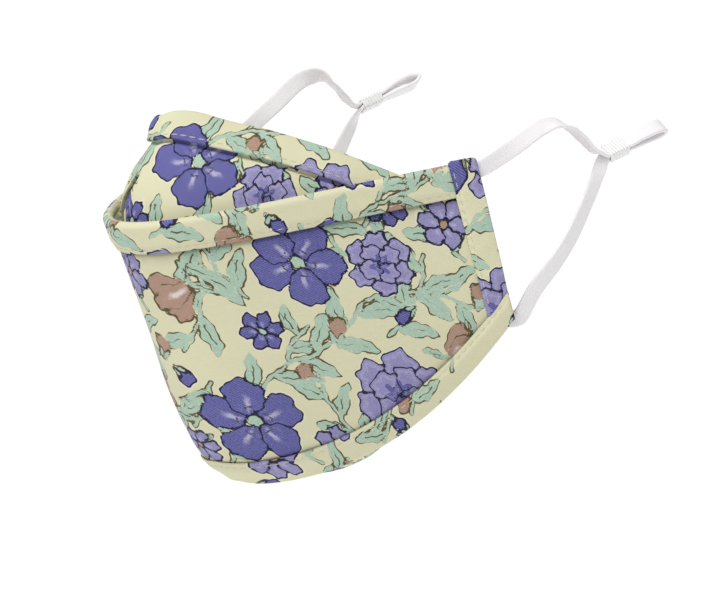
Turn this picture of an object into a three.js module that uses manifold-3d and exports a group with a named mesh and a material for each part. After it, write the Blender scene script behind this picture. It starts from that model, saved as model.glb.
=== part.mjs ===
// A cotton face mask in three panels, held open as it is worn, with two ear straps.
// Millimetres. +Z is up, -Y is the front, +X is the wearer's left. The origin lies in the
// middle of the face opening, level with the middle of the side casings.
import * as THREE from "three";
import { mergeVertices } from "three/addons/utils/BufferGeometryUtils.js";
import Module from "manifold-3d";

const wasm = await Module();
wasm.setup();

// Front panel
const halfArc = 107;          // half of the flat width, along the cloth
const sideAngle = 66;         // how far the sides turn back from the front, in degrees
const bendRadius = 24.3;      // bend of the lip at the centre front
const centreFall = 84.9;      // lip down to the chin fold, at the centre
const middleFall = 78.1;      // the same, half way to the side
const casingHeight = 47.3;    // the same at the side, and the height of the side casing
const lipRise = 2.2;          // how far the lip stands above its ends
const foldSetback = 20.7;     // chin fold behind the lip, at the centre
const foldFlare = 1.1;        // chin fold outside the lip, at the side
const foldBendRadius = 9;     // bend of the chin fold at the centre
const puff = 2;               // even bulge of the front panel
const lowPuff = 2.1;          // further bulge in its lower half
const puffLoss = 0.5;         // share of the bulge that is gone at the side
const frontWall = 1.6;

// Nose panel, sewn in behind the lip
const noseWall = 1.4;
const noseFootDepth = 8;      // its foot lies this far below the lip
const noseHemSetback = 22.6;  // hem behind the lip, at the centre
const noseHemRise = 27;       // hem above the lip, at the centre
const noseHemSideDrop = 18;   // hem below the end of the lip, at the side
const noseHemInset = 3;       // hem inside the front panel, at the side
const noseBendRadius = 4.5;   // bend of the hem over the nose
const noseHemSag = 0.45;      // share of the hem's fall that comes late, toward the side
const noseBulge = 6.5;
const noseLift = 4;
const creaseDepth = 7;        // tuck in the centre of the nose panel, deepest at its foot
const creaseWidth = 6;
const creaseReach = 0.75;     // share of the panel's height where the tuck fades out

// Chin panel, sewn in behind the chin fold
const chinWall = 1.4;
const chinFootDepth = 7;      // its foot lies this far above the fold
const chinSetback = 50;       // free edge behind the front of the lip, at the centre
const chinBendRadius = 14;    // bend of the free edge at the centre
const chinDrop = 3;           // free edge below the fold, at the centre
const chinInset = 6;          // free edge inside the fold, at the side
const chinSideRise = 20;      // free edge above the fold, at the side
const chinSag = 5;            // how far the chin panel is bowed down
const chinRoll = 8;           // extra bow where it rolls under, toward the side
const chinRollPlace = 0.84;   // share of the half arc where that bow is deepest
const chinRollWidth = 0.13;

// Stitched bands
const bandWall = 1.2;
const upperBandDepth = 9.4;
const lowerBandDepth = 8.7;
const noseHemDepth = 9;

// Side casings, each a sleeve for the strap
const casingWidth = 8.6;
const casingWall = 1;
const casingProud = 1.3;      // outer face of the sleeve in front of the front panel
const slitDepth = 6.4;        // slit in the back edge where the strap leaves at the top

// Straps and locks
const strapWidth = 5;
const strapThickness = 1;
const strapPlay = 0.6;        // room round the strap inside the sleeve
const strapReach = 64;        // from the sleeve's back edge to the tip of the tail
const farStrapLift = 3.8;     // the strap on the -X side lies this much higher
const liftReach = 0.35;       // share of strapReach over which it rises to that
const strapTurnRadius = 3.4;  // turn of the strap where it leaves the sleeve
const lockLength = 7;
const lockWall = 0.95;
const lockCorner = 1.2;
const lockRibs = 5;
const lockRibDepth = 0.25;

const layerGap = 0.4;         // air between sewn layers
const endGap = 0.35;          // air between the panels' ends and the casings

const columns = 54;           // steps along a panel
const rows = 8;               // steps down a panel

const rad = THREE.MathUtils.degToRad;

// A rail is a plan curve: it starts across the centre front and turns back to sideAngle.
function makeRail(radius) {
  const steps = 400;
  const points = [{ x: 0, y: 0, turn: 0 }];
  for (let i = 1; i <= steps; i += 1) {
    const q = (i / steps) * (halfArc / radius);
    const turn = rad(sideAngle) * q / Math.hypot(1, q);
    const last = points[i - 1];
    const mean = (turn + last.turn) / 2;
    const step = halfArc / steps;
    points.push({ x: last.x + step * Math.cos(mean), y: last.y + step * Math.sin(mean), turn });
  }
  return (share) => {
    const place = Math.min(Math.max(Math.abs(share), 0), 1) * steps;
    const i = Math.min(Math.floor(place), steps - 1);
    const k = place - i;
    const mix = (key) => points[i][key] * (1 - k) + points[i + 1][key] * k;
    return { x: mix("x"), y: mix("y"), turn: mix("turn") };
  };
}

const lipRail = makeRail(bendRadius);
const foldRail = makeRail(foldBendRadius);
const noseRail = makeRail(noseBendRadius);
const chinRail = makeRail(chinBendRadius);
const halfWidth = lipRail(1).x;
const depth = lipRail(1).y;

// Point on a rail that is fitted to a half width and to a setback behind the lip
function railPoint(rail, share, width, setback) {
  const p = rail(share);
  const end = rail(1);
  const x = (p.x / end.x) * width;
  return new THREE.Vector3(share < 0 ? -x : x, (p.y / end.y - 1) * (depth - setback), 0);
}

// Outward direction of the front panel
function outAt(share) {
  const { turn } = lipRail(share);
  return new THREE.Vector3((share < 0 ? -1 : 1) * Math.sin(turn), -Math.cos(turn), 0);
}

function heightAt(share) {
  const a = Math.abs(share);
  const slope = 4 * middleFall - 3 * centreFall - casingHeight;
  const curve = 2 * casingHeight + 2 * centreFall - 4 * middleFall;
  return centreFall + slope * a + curve * a * a;
}

const lipHeight = (share) => casingHeight / 2 + lipRise * (1 - share * share);

function lipPoint(share) {
  return railPoint(lipRail, share, halfWidth, 0).setZ(lipHeight(share));
}

function foldPoint(share) {
  const point = railPoint(foldRail, share, halfWidth + foldFlare, foldSetback);
  return point.setZ(lipHeight(share) - heightAt(share));
}

// Front panel's face: fall 0 is the lip and 1 the chin fold, offset is outward from it
function frontPoint(share, fall, offset = 0) {
  const even = puff * 4 * fall * (1 - fall);
  const low = lowPuff * 6.75 * fall * fall * (1 - fall);
  const bulge = (even + low) * (1 - puffLoss * Math.abs(share));
  const point = lipPoint(share).lerp(foldPoint(share), fall);
  return point.addScaledVector(outAt(share), bulge + offset);
}

function noseHemPoint(share) {
  const a = Math.abs(share);
  const top = lipHeight(0) + noseHemRise;
  const bottom = casingHeight / 2 - noseHemSideDrop;
  const point = railPoint(noseRail, share, halfWidth - noseHemInset, noseHemSetback);
  return point.setZ(top + (bottom - top) * ((1 - noseHemSag) * a + noseHemSag * a * a));
}

function chinEdgePoint(share) {
  const a = Math.abs(share);
  const fold = foldPoint(share).z;
  const side = foldPoint(1).z + chinSideRise;
  const point = railPoint(chinRail, share, halfWidth + foldFlare - chinInset, chinSetback);
  return point.setZ(THREE.MathUtils.lerp(fold - chinDrop * (1 - a), side, a * a));
}

function bezier(a, b, c, k) {
  return new THREE.Vector3()
    .addScaledVector(a, (1 - k) * (1 - k))
    .addScaledVector(b, 2 * k * (1 - k))
    .addScaledVector(c, k * k);
}

// Nose panel's face: rise 0 is its foot behind the lip and 1 its hem
function nosePoint(share, rise) {
  const a = Math.abs(share);
  const inset = frontWall + layerGap + (bandWall + layerGap) * a * a;
  const foot = frontPoint(share, noseFootDepth / heightAt(share), -inset);
  const hem = noseHemPoint(share);
  const middle = foot.clone().add(hem).multiplyScalar(0.5);
  middle.addScaledVector(outAt(share), noseBulge * (1 - a));
  middle.z += noseLift * (1 - a);
  const p = bezier(foot, middle, hem, rise);
  const across = (share * halfArc) / creaseWidth;
  const fade = Math.max(1 - rise / creaseReach, 0) ** 0.7;
  p.y += creaseDepth * Math.exp(-across * across) * fade;
  return p;
}

// Chin panel's face: rise 0 is its foot behind the fold and 1 its free edge
function chinPoint(share, rise) {
  const a = Math.abs(share);
  const inset = frontWall + 2 * layerGap;
  const foot = frontPoint(share, 1 - chinFootDepth / heightAt(share), -inset);
  const fold = foldPoint(share);
  const edge = chinEdgePoint(share);
  const roll = chinRoll * Math.exp(-(((a - chinRollPlace) / chinRollWidth) ** 2));
  const middle = fold.clone().lerp(edge, 0.45).addScaledVector(outAt(share), -frontWall);
  middle.z = fold.z - chinSag - roll;
  return bezier(foot, middle, edge, rise);
}

// Normal of a face given by two shares, by small steps
function normalAt(face, u, v) {
  const e = 1e-3;
  const across = face(u + e, v).sub(face(u - e, v));
  const along = face(u, Math.min(v + e, 1)).sub(face(u, Math.max(v - e, 0)));
  return across.cross(along).normalize();
}

function geometryOf(positions, indices) {
  const geometry = new THREE.BufferGeometry();
  geometry.setAttribute("position", new THREE.Float32BufferAttribute(positions, 3));
  geometry.setIndex(indices);
  return geometry;
}

// A closed sheet: a face and its back, with the four edges joined. The face is seen from
// outside with u growing to the right and v growing upward.
function sheet(face, uList, vList, front, back) {
  const positions = [];
  const indices = [];
  const nu = uList.length;
  const nv = vList.length;
  for (const offset of [front, back]) {
    for (const v of vList) {
      for (const u of uList) {
        const n = normalAt(face, u, v);
        positions.push(...face(u, v).addScaledVector(n, offset).toArray());
      }
    }
  }
  const at = (side, i, j) => side * nu * nv + j * nu + i;
  const quad = (a, b, c, d) => indices.push(a, b, c, a, c, d);
  for (let j = 0; j < nv - 1; j += 1) {
    for (let i = 0; i < nu - 1; i += 1) {
      quad(at(0, i, j), at(0, i + 1, j), at(0, i + 1, j + 1), at(0, i, j + 1));
      quad(at(1, i, j), at(1, i, j + 1), at(1, i + 1, j + 1), at(1, i + 1, j));
    }
  }
  for (let i = 0; i < nu - 1; i += 1) {
    quad(at(1, i, 0), at(1, i + 1, 0), at(0, i + 1, 0), at(0, i, 0));
    quad(at(0, i, nv - 1), at(0, i + 1, nv - 1), at(1, i + 1, nv - 1), at(1, i, nv - 1));
  }
  for (let j = 0; j < nv - 1; j += 1) {
    quad(at(1, 0, j), at(0, 0, j), at(0, 0, j + 1), at(1, 0, j + 1));
    quad(at(0, nu - 1, j), at(1, nu - 1, j), at(1, nu - 1, j + 1), at(0, nu - 1, j + 1));
  }
  return geometryOf(positions, indices);
}

// Shares along a panel from -end to end, closer together at the centre
function spread(count, end) {
  return Array.from({ length: count + 1 }, (_, i) => {
    const q = (2 * i) / count - 1;
    return end * (0.35 * q + 0.65 * q ** 3);
  });
}

const evenly = (count) => Array.from({ length: count + 1 }, (_, i) => i / count);

// Closed loft through rings of equal length; it closes on itself or is capped at both ends
function loft(rings, closed) {
  const positions = rings.flatMap((ring) => ring.flatMap((p) => p.toArray()));
  const indices = [];
  const n = rings[0].length;
  const count = rings.length;
  for (let k = 0; k < (closed ? count : count - 1); k += 1) {
    const a = k * n;
    const b = ((k + 1) % count) * n;
    for (let i = 0; i < n; i += 1) {
      const j = (i + 1) % n;
      indices.push(a + i, a + j, b + j, a + i, b + j, b + i);
    }
  }
  if (!closed) {
    const last = (count - 1) * n;
    for (let i = 1; i < n - 1; i += 1) {
      indices.push(0, i + 1, i, last, last + i, last + i + 1);
    }
  }
  return geometryOf(positions, indices);
}

function toSolid(geometry) {
  const plain = geometry.clone();
  plain.deleteAttribute("normal");
  plain.deleteAttribute("uv");
  const merged = mergeVertices(plain, 1e-4);
  return new wasm.Manifold(new wasm.Mesh({
    numProp: 3,
    vertProperties: new Float32Array(merged.attributes.position.array),
    triVerts: new Uint32Array(merged.index.array),
  }));
}

function fromSolid(solid) {
  const mesh = solid.getMesh();
  return geometryOf(Array.from(mesh.vertProperties), Array.from(mesh.triVerts));
}

// Mirror to the -X side, with the faces turned so that they still point out
function mirrored(geometry) {
  const copy = geometry.clone();
  copy.scale(-1, 1, 1);
  const index = Array.from(copy.index.array);
  for (let i = 0; i < index.length; i += 3) {
    [index[i + 1], index[i + 2]] = [index[i + 2], index[i + 1]];
  }
  copy.setIndex(index);
  return copy;
}

const panelEnd = 1 - (casingWidth + endGap) / halfArc;
const columnShares = spread(columns, panelEnd);

// Panels. The front panel's v grows upward, so its fall is 1 - v.
const frontFace = (u, v) => frontPoint(u, 1 - v);
const frontPanel = sheet(frontFace, columnShares, evenly(rows), 0, -frontWall);
const nosePanel = sheet(nosePoint, columnShares, evenly(rows), 0, -noseWall);
const chinFace = (u, v) => chinPoint(u, 1 - v);
const chinPanel = sheet(chinFace, columnShares, evenly(rows + 2), 0, -chinWall);

// Bands lie on the outside of the panels.
const upperBandFace = (u, v) => frontPoint(u, ((1 - v) * upperBandDepth) / heightAt(u));
const upperBand = sheet(upperBandFace, columnShares, evenly(2), layerGap + bandWall, layerGap);

const lowerBandFace = (u, v) => frontPoint(u, 1 - (v * lowerBandDepth) / heightAt(u));
const tabShares = columnShares.map((s) => s / panelEnd);
const lowerBand = sheet(lowerBandFace, tabShares, evenly(2), layerGap + bandWall, layerGap);

function noseHemStart(share) {
  const length = nosePoint(share, 0.5).distanceTo(nosePoint(share, 1)) * 2;
  return Math.max(1 - noseHemDepth / length, 0.12);
}
function noseHemFace(u, v) {
  const start = noseHemStart(u);
  return nosePoint(u, start + (1 - start) * v);
}
const noseHem = sheet(noseHemFace, columnShares, evenly(4), layerGap + bandWall, layerGap);

// Side casing: a sleeve along the end of the front panel, above the lower band
const casingFront = 1 - casingWidth / halfArc;
const casingInner = casingProud - 2 * casingWall - strapThickness - 2 * strapPlay;
const casingBottom = 1 - (lowerBandDepth + endGap) / casingHeight;

function casingRing(fall, wall) {
  const near = casingFront + wall / halfArc;
  const far = 1 - wall / halfArc;
  return [
    frontPoint(near, fall, casingProud - wall),
    frontPoint(near, fall, casingInner + wall),
    frontPoint(far, fall, casingInner + wall),
    frontPoint(far, fall, casingProud - wall),
  ];
}

function casing() {
  const falls = evenly(5).map((k) => k * casingBottom);
  const outer = loft(falls.map((f) => casingRing(f, 0)), false);
  const past = [-0.1, ...falls.slice(1, -1), casingBottom + 0.1];
  const hole = loft(past.map((f) => casingRing(f, casingWall)), false);
  const slitRing = (fall) => {
    const ring = casingRing(fall, casingWall);
    const back = frontPoint(1, fall, 0).sub(frontPoint(casingFront, fall, 0)).normalize();
    const start = ring.map((p) => p.clone());
    start[2].addScaledVector(back, casingWall * 2);
    start[3].addScaledVector(back, casingWall * 2);
    return start;
  };
  const slit = loft([slitRing(-0.1), slitRing(slitDepth / casingHeight)], false);
  return fromSolid(toSolid(outer).subtract(toSolid(hole)).subtract(toSolid(slit)));
}

// Strap: a flat elastic loop through the sleeve, the lock and a short tail.
// back is a share of strapReach behind the sleeve's back edge, and up a share of
// casingHeight above its middle. The width of the strap leans in the loop's plane, from
// upright toward the back, and turns out of it toward the face, both in degrees. apart is
// how far the run lies from the middle of the lock, as a share of strapStack, and wide its
// width as a share of strapWidth.
const strapStations = [
  { back: 0.203, up: 0.491, lean: -12, turn: 0, apart: 0, wide: 1 },
  { back: 0.364, up: 0.549, lean: -8, turn: 6, apart: 0, wide: 1 },
  { back: 0.45, up: 0.545, lean: 10, turn: 30, apart: 0, wide: 1 },
  { back: 0.512, up: 0.496, lean: 40, turn: 62, apart: 0, wide: 1 },
  { back: 0.559, up: 0.4, lean: 50, turn: 74, apart: 0, wide: 0.98 },
  { back: 0.606, up: 0.312, lean: 30, turn: 68, apart: 0.3, wide: 0.9 },
  { back: 0.655, up: 0.252, lean: -4, turn: 60, apart: 1, wide: 0.84 },
  { back: 0.712, up: 0.258, lean: -4, turn: 60, apart: 1, wide: 0.84 },
  { back: 0.769, up: 0.264, lean: -4, turn: 60, apart: 1, wide: 0.84 },
  { back: 0.87, up: 0.282, lean: -4, turn: 54, apart: 1.8, wide: 0.95 },
  { back: 0.955, up: 0.288, lean: -2, turn: 52, apart: 1.6, wide: 1 },
  { back: 0.982, up: 0.289, lean: 0, turn: 52, apart: 0, wide: 1 },
  { back: 0.955, up: 0.288, lean: -2, turn: 52, apart: -1.6, wide: 1 },
  { back: 0.87, up: 0.282, lean: -4, turn: 54, apart: -1.8, wide: 0.95 },
  { back: 0.769, up: 0.264, lean: -4, turn: 60, apart: -1, wide: 0.84 },
  { back: 0.712, up: 0.258, lean: -4, turn: 60, apart: -1, wide: 0.84 },
  { back: 0.655, up: 0.252, lean: -4, turn: 60, apart: -1, wide: 0.84 },
  { back: 0.588, up: 0.126, lean: 60, turn: 88, apart: 0, wide: 0.95 },
  { back: 0.503, up: 0.002, lean: 131, turn: 80, apart: 0, wide: 1 },
  { back: 0.405, up: -0.132, lean: 134, turn: 52, apart: 0, wide: 1 },
  { back: 0.291, up: -0.253, lean: 142, turn: 18, apart: 0, wide: 1 },
  { back: 0.134, up: -0.381, lean: 155, turn: 0, apart: 0, wide: 1 },
];
const lockFrom = strapStations[6];
const lockTo = strapStations[8];
const strapStack = (strapThickness + layerGap) / 2;

const strapShare = 1 - casingWidth / 2 / halfArc;
const strapOffset = casingProud - casingWall - strapPlay - strapThickness / 2;
const sleeveTop = frontPoint(strapShare, 0, strapOffset);
const sleeveFoot = frontPoint(strapShare, 1, strapOffset);
const sleeveBack = frontPoint(1, 0).sub(frontPoint(casingFront, 0)).setZ(0).normalize();
const strapEdge = strapWidth / 2 + layerGap;
const strapStraight = casingWidth / 2 + 2 * layerGap;  // it runs on like the sleeve so far

// The loop's plane leans and bows as the sleeve does.
function strapPoint(back, z) {
  const fall = THREE.MathUtils.clamp((sleeveTop.z - z) / (sleeveTop.z - sleeveFoot.z), 0, 1);
  const point = frontPoint(strapShare, fall, strapOffset).setZ(z);
  point.addScaledVector(sleeveBack, Math.min(back, strapStraight));
  point.y += Math.max(back - strapStraight, 0);
  return point;
}

function smooth(share) {
  const k = Math.min(Math.max(share, 0), 1);
  return k * k * (3 - 2 * k);
}

function placeStation({ back, up, lean, turn, apart, wide }, lift) {
  const width = new THREE.Vector3(
    -Math.sin(rad(turn)),
    Math.cos(rad(turn)) * Math.sin(rad(lean)),
    Math.cos(rad(turn)) * Math.cos(rad(lean)),
  );
  const z = up * casingHeight + lift * smooth(back / liftReach);
  const point = strapPoint(casingWidth / 2 + back * strapReach, z);
  point.x += apart * strapStack * Math.cos(rad(turn));
  point.z += apart * strapStack * Math.sin(rad(turn));
  return { point, width, wide };
}

// Quarter turn from along the sleeve to straight back; side is 1 at the top, -1 at the foot
function sleeveTurn(end, side, angle) {
  const a = rad(angle);
  const z = end.z - side * (strapEdge + strapTurnRadius * (1 - Math.sin(a)));
  const point = strapPoint(strapTurnRadius * (1 - Math.cos(a)), z);
  const width = sleeveBack.clone().multiplyScalar(-Math.cos(a)).setZ(side * Math.sin(a));
  return { point, width, wide: 1 };
}

// The strap just behind the sleeve
function behindSleeve(end, side) {
  const point = strapPoint(strapStraight, end.z - side * strapEdge);
  return { point, width: new THREE.Vector3(0, 0, side), wide: 1 };
}

const turnAngles = [0, 30, 60, 85];

function strapPath(lift) {
  const inSleeve = (share) => ({
    point: strapPoint(0, THREE.MathUtils.lerp(sleeveFoot.z, sleeveTop.z, share)),
    width: sleeveBack.clone().negate(),
    wide: 1,
  });
  return [
    ...[0.22, 0.36, 0.5, 0.64, 0.78].map(inSleeve),
    ...turnAngles.map((angle) => sleeveTurn(sleeveTop, 1, angle)),
    behindSleeve(sleeveTop, 1),
    ...strapStations.map((station) => placeStation(station, lift)),
    behindSleeve(sleeveFoot, -1),
    ...turnAngles.toReversed().map((angle) => sleeveTurn(sleeveFoot, -1, angle)),
  ];
}

function squareTo(along, width) {
  const across = width.clone().addScaledVector(along, -width.dot(along)).normalize();
  return { across, normal: along.clone().cross(across).normalize() };
}

function strap(lift) {
  const path = strapPath(lift);
  const curve = new THREE.CatmullRomCurve3(path.map((s) => s.point), true, "centripetal");
  const between = 3;
  const steps = path.length * between;
  const rings = [];
  for (let k = 0; k < steps; k += 1) {
    const here = path[Math.floor(k / between)];
    const next = path[(Math.floor(k / between) + 1) % path.length];
    const part = (k % between) / between;
    const { across, normal } = squareTo(
      curve.getTangent(k / steps), here.width.clone().lerp(next.width, part));
    const wide = strapWidth * THREE.MathUtils.lerp(here.wide, next.wide, part);
    const centre = curve.getPoint(k / steps);
    rings.push([[1, 1], [-1, 1], [-1, -1], [1, -1]].map(([a, b]) => centre.clone()
      .addScaledVector(across, (a * wide) / 2)
      .addScaledVector(normal, (b * strapThickness) / 2)));
  }
  return loft(rings, true);
}

// Lock: a ribbed oval tube round both runs of the strap
function roundedRing(centre, width, normal, w, h, radius) {
  const ring = [];
  for (let corner = 0; corner < 4; corner += 1) {
    const sx = corner === 0 || corner === 3 ? 1 : -1;
    const sy = corner < 2 ? 1 : -1;
    for (let k = 0; k < 3; k += 1) {
      const angle = rad(90 * corner + 45 * k);
      const a = sx * (w / 2 - radius) + radius * Math.cos(angle);
      const b = sy * (h / 2 - radius) + radius * Math.sin(angle);
      ring.push(centre.clone().addScaledVector(width, a).addScaledVector(normal, b));
    }
  }
  return ring;
}

function lock(lift) {
  const holeWidth = strapWidth * lockFrom.wide + 2 * layerGap;
  const holeDepth = 2 * (strapStack + strapThickness / 2 + layerGap);
  const outerWidth = holeWidth + 2 * lockWall;
  const outerDepth = holeDepth + 2 * lockWall;
  const from = placeStation({ ...lockFrom, apart: 0 }, lift);
  const to = placeStation({ ...lockTo, apart: 0 }, lift);
  const along = to.point.clone().sub(from.point).normalize();
  const start = from.point.clone().lerp(to.point, 0.5).addScaledVector(along, -lockLength / 2);
  const { across, normal } = squareTo(along, from.width);
  const ring = (share, w, h, radius) => roundedRing(
    start.clone().addScaledVector(along, share * lockLength), across, normal, w, h, radius);
  const rings = [];
  for (let k = 0; k <= lockRibs * 2; k += 1) {
    const groove = k % 2 === 0 ? 2 * lockRibDepth : 0;
    rings.push(ring(k / (lockRibs * 2), outerWidth - groove, outerDepth - groove, lockCorner));
  }
  for (const share of [1, 0.5, 0]) {
    rings.push(ring(share, holeWidth, holeDepth, layerGap));
  }
  return loft(rings, true);
}

const printedCotton = new THREE.MeshStandardMaterial({ color: 0xe6e2c6, roughness: 0.8 });
const shadedCotton = new THREE.MeshStandardMaterial({ color: 0xd8d4b8, roughness: 0.82 });
const whiteElastic = new THREE.MeshStandardMaterial({ color: 0xe8e6e9, roughness: 0.75 });
const whiteSilicone = new THREE.MeshStandardMaterial({ color: 0xf2f2f0, roughness: 0.45 });

const mask = new THREE.Group();

function add(name, geometry, material) {
  geometry.computeVertexNormals();
  const mesh = new THREE.Mesh(geometry, material);
  mesh.name = name;
  mask.add(mesh);
}

add("front_panel", frontPanel, printedCotton);
add("nose_panel", nosePanel, printedCotton);
add("chin_panel", chinPanel, shadedCotton);
add("upper_band", upperBand, printedCotton);
add("lower_band", lowerBand, printedCotton);
add("nose_hem", noseHem, printedCotton);
add("side_casing_left", casing(), printedCotton);
add("side_casing_right", mirrored(casing()), printedCotton);
add("ear_strap_left", strap(0), whiteElastic);
add("ear_strap_right", mirrored(strap(farStrapLift)), whiteElastic);
add("strap_lock_left", lock(0), whiteSilicone);
add("strap_lock_right", mirrored(lock(farStrapLift)), whiteSilicone);

export default mask;
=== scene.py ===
import math
import bpy
import bmesh
import numpy as np
from mathutils import Matrix, Vector
from mathutils.bvhtree import BVHTree


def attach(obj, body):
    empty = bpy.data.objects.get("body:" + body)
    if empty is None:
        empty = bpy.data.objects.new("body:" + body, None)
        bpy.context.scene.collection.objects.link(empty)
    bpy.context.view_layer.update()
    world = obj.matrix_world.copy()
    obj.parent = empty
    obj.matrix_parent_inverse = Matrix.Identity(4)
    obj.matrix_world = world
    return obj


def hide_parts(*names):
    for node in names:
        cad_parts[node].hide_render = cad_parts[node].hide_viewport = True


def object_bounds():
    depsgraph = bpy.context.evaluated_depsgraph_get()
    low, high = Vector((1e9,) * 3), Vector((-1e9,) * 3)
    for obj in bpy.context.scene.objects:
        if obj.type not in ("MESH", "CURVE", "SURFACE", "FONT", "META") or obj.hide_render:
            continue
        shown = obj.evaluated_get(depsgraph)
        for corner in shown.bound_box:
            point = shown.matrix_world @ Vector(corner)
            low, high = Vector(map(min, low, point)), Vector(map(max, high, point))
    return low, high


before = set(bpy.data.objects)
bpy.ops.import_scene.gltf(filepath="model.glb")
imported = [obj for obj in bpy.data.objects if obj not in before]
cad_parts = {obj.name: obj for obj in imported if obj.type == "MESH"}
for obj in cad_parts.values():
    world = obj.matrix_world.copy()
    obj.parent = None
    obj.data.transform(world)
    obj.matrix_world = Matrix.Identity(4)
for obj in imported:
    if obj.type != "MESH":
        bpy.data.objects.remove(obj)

cadLow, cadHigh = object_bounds()
mm = 0.001
picture = {"wide": 720, "high": 608}

# the camera looks along the photograph's direction, turned a little about its own axis
shot = {"azimuth": 58.68, "elevation": 13.9, "roll": 12.5, "pixelsPerMm": 3.52, "lens": 1000.0,
        "sensor": 36.0, "clip": (0.5, 60.0), "lipCentre": (0.0, -82.5, 25.85), "lipPixel": (119.98, 222.95)}


def aimCamera(s):
    a, e, r = (math.radians(s[k]) for k in ("azimuth", "elevation", "roll"))
    back = Vector((math.sin(a) * math.cos(e), -math.cos(a) * math.cos(e), math.sin(e)))
    level = Vector((math.cos(a), math.sin(a), 0))
    rise = back.cross(level)
    right = level * math.cos(r) - rise * math.sin(r)
    up = level * math.sin(r) + rise * math.cos(r)
    across = (picture["wide"] / 2 - s["lipPixel"][0]) / s["pixelsPerMm"]
    down = (picture["high"] / 2 - s["lipPixel"][1]) / s["pixelsPerMm"]
    away = picture["wide"] / s["pixelsPerMm"] * s["lens"] / s["sensor"]
    data = bpy.data.cameras.new("camera")
    data.sensor_width, data.lens = s["sensor"], s["lens"]
    data.clip_start, data.clip_end = s["clip"]
    place = (Vector(s["lipCentre"]) + right * across - up * down + back * away) * mm
    camera = bpy.data.objects.new("camera", data)
    camera.matrix_world = Matrix.Translation(place) @ Matrix((right, up, back)).transposed().to_4x4()
    bpy.context.collection.objects.link(camera)
    bpy.context.scene.camera = camera
    return right, back


right, back = aimCamera(shot)
print("camera placed")

# floor and light; a light's place is how far towards the camera, to its right and up
studio = {"floorDrop": 0.25, "floorSize": 14.0, "floorTone": (0.97, 0.97, 0.97), "floorRough": 0.9,
          "worldTone": (1.0, 1.0, 1.0), "worldPower": 0.43,
          "sunPower": 2.22, "sunSoftness": 34.0, "sunPlace": (0.36, -0.36, 1.0)}
lamps = {"key": {"power": 0.88, "size": 0.5, "place": (0.5, -0.5, 0.45)},
         "fill": {"power": 0.42, "size": 0.8, "place": (0.8, 0.8, 0.1)}}


def newMaterial(name):
    material = bpy.data.materials.new(name)
    material.use_nodes = True
    return material, material.node_tree, material.node_tree.nodes["Principled BSDF"]


def layFloor(s):
    bm = bmesh.new()
    bmesh.ops.create_grid(bm, x_segments=2, y_segments=2, size=s["floorSize"] / 2)
    bmesh.ops.translate(bm, verts=bm.verts, vec=(0, 0, cadLow.z - s["floorDrop"]))
    mesh = bpy.data.meshes.new("floor")
    bm.to_mesh(mesh)
    bm.free()
    floor = bpy.data.objects.new("floor", mesh)
    bpy.context.collection.objects.link(floor)
    material, _, shader = newMaterial("paleFloor")
    shader.inputs["Base Color"].default_value = (*s["floorTone"], 1)
    shader.inputs["Roughness"].default_value = s["floorRough"]
    mesh.materials.append(material)


def fromCamera(place):
    return back * place[0] + right * place[1] + Vector((0, 0, place[2]))


def hangLight(name, data, way, middle=Vector()):
    # way points from the middle to the light
    light = bpy.data.objects.new(name, data)
    light.location = middle + way
    light.rotation_euler = (-way).to_track_quat("-Z", "Y").to_euler()
    bpy.context.collection.objects.link(light)


def lightStudio(s):
    world = bpy.data.worlds.new("studio")
    world.use_nodes = True
    sky = world.node_tree.nodes["Background"]
    sky.inputs["Color"].default_value = (*s["worldTone"], 1)
    sky.inputs["Strength"].default_value = s["worldPower"]
    bpy.context.scene.world = world
    bpy.context.scene.view_settings.view_transform = "Standard"
    sun = bpy.data.lights.new("sun", "SUN")
    sun.energy, sun.angle = s["sunPower"], math.radians(s["sunSoftness"])
    hangLight("sun", sun, fromCamera(s["sunPlace"]))
    for name, lamp in lamps.items():
        data = bpy.data.lights.new(name, "AREA")
        data.shape, data.size, data.energy = "DISK", lamp["size"], lamp["power"]
        hangLight(name, data, fromCamera(lamp["place"]), (cadLow + cadHigh) / 2)


layFloor(studio)
lightStudio(studio)
print("studio ready")

# the cloth's form, in millimetres, as cut and held
form = {"halfArc": 107.0, "sideAngle": 66.0, "lipBend": 24.3, "foldBend": 9.0, "noseBend": 6.0,
        "chinBend": 14.0, "centreFall": 84.9, "middleFall": 78.1, "sideFall": 47.3, "lipRise": 2.2,
        "foldSetback": 20.7, "foldFlare": 1.1, "foldLift": 1.1, "foldLiftWidth": 0.45,
        "bow": 3.6, "bowWidth": 0.34, "bowStart": 0.3, "bowReach": 0.6,
        "footStart": 0.88, "footReach": 0.12, "footLoss": 1.15, "puff": 2.0, "lowPuff": 2.1, "puffLoss": 0.5,
        "wall": 1.6, "gap": 0.4, "bandWall": 1.2}
noseForm = {"foot": 8.0, "setback": 22.6, "rise": 27.0, "sideDrop": 18.0, "inset": 3.0, "sag": 0.45,
            "bulge": 6.5, "lift": 4.0, "wall": 1.4,
            "peakDrop": 2.4, "peakWidth": 3.4, "farDrop": 0.4, "farWidth": 8.0,
            "crest": 1.0, "crestPlace": 9.0, "crestWidth": 8.0, "fadePlace": 11.0, "fadeWidth": 14.0,
            "crease": 12.0, "creaseWidth": 1.2, "creaseSpread": 1.7, "creaseReach": 0.53,
            "creaseLean": 11.0, "creaseSide": 0.5, "creaseRound": 0.12, "creaseSharp": 1.4,
            "brow": 2.2, "browWidth": 7.0, "browStart": 0.78, "browReach": 0.16,
            "pinch": 3.2, "pinchPlace": -9.0, "pinchWidth": 8.0, "pinchStart": 0.52, "pinchReach": 0.22,
            "lobe": 1.4, "lobePlace": -12.0, "lobeWidth": 6.0, "lobeRise": 0.3, "lobeTall": 0.16}
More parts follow.
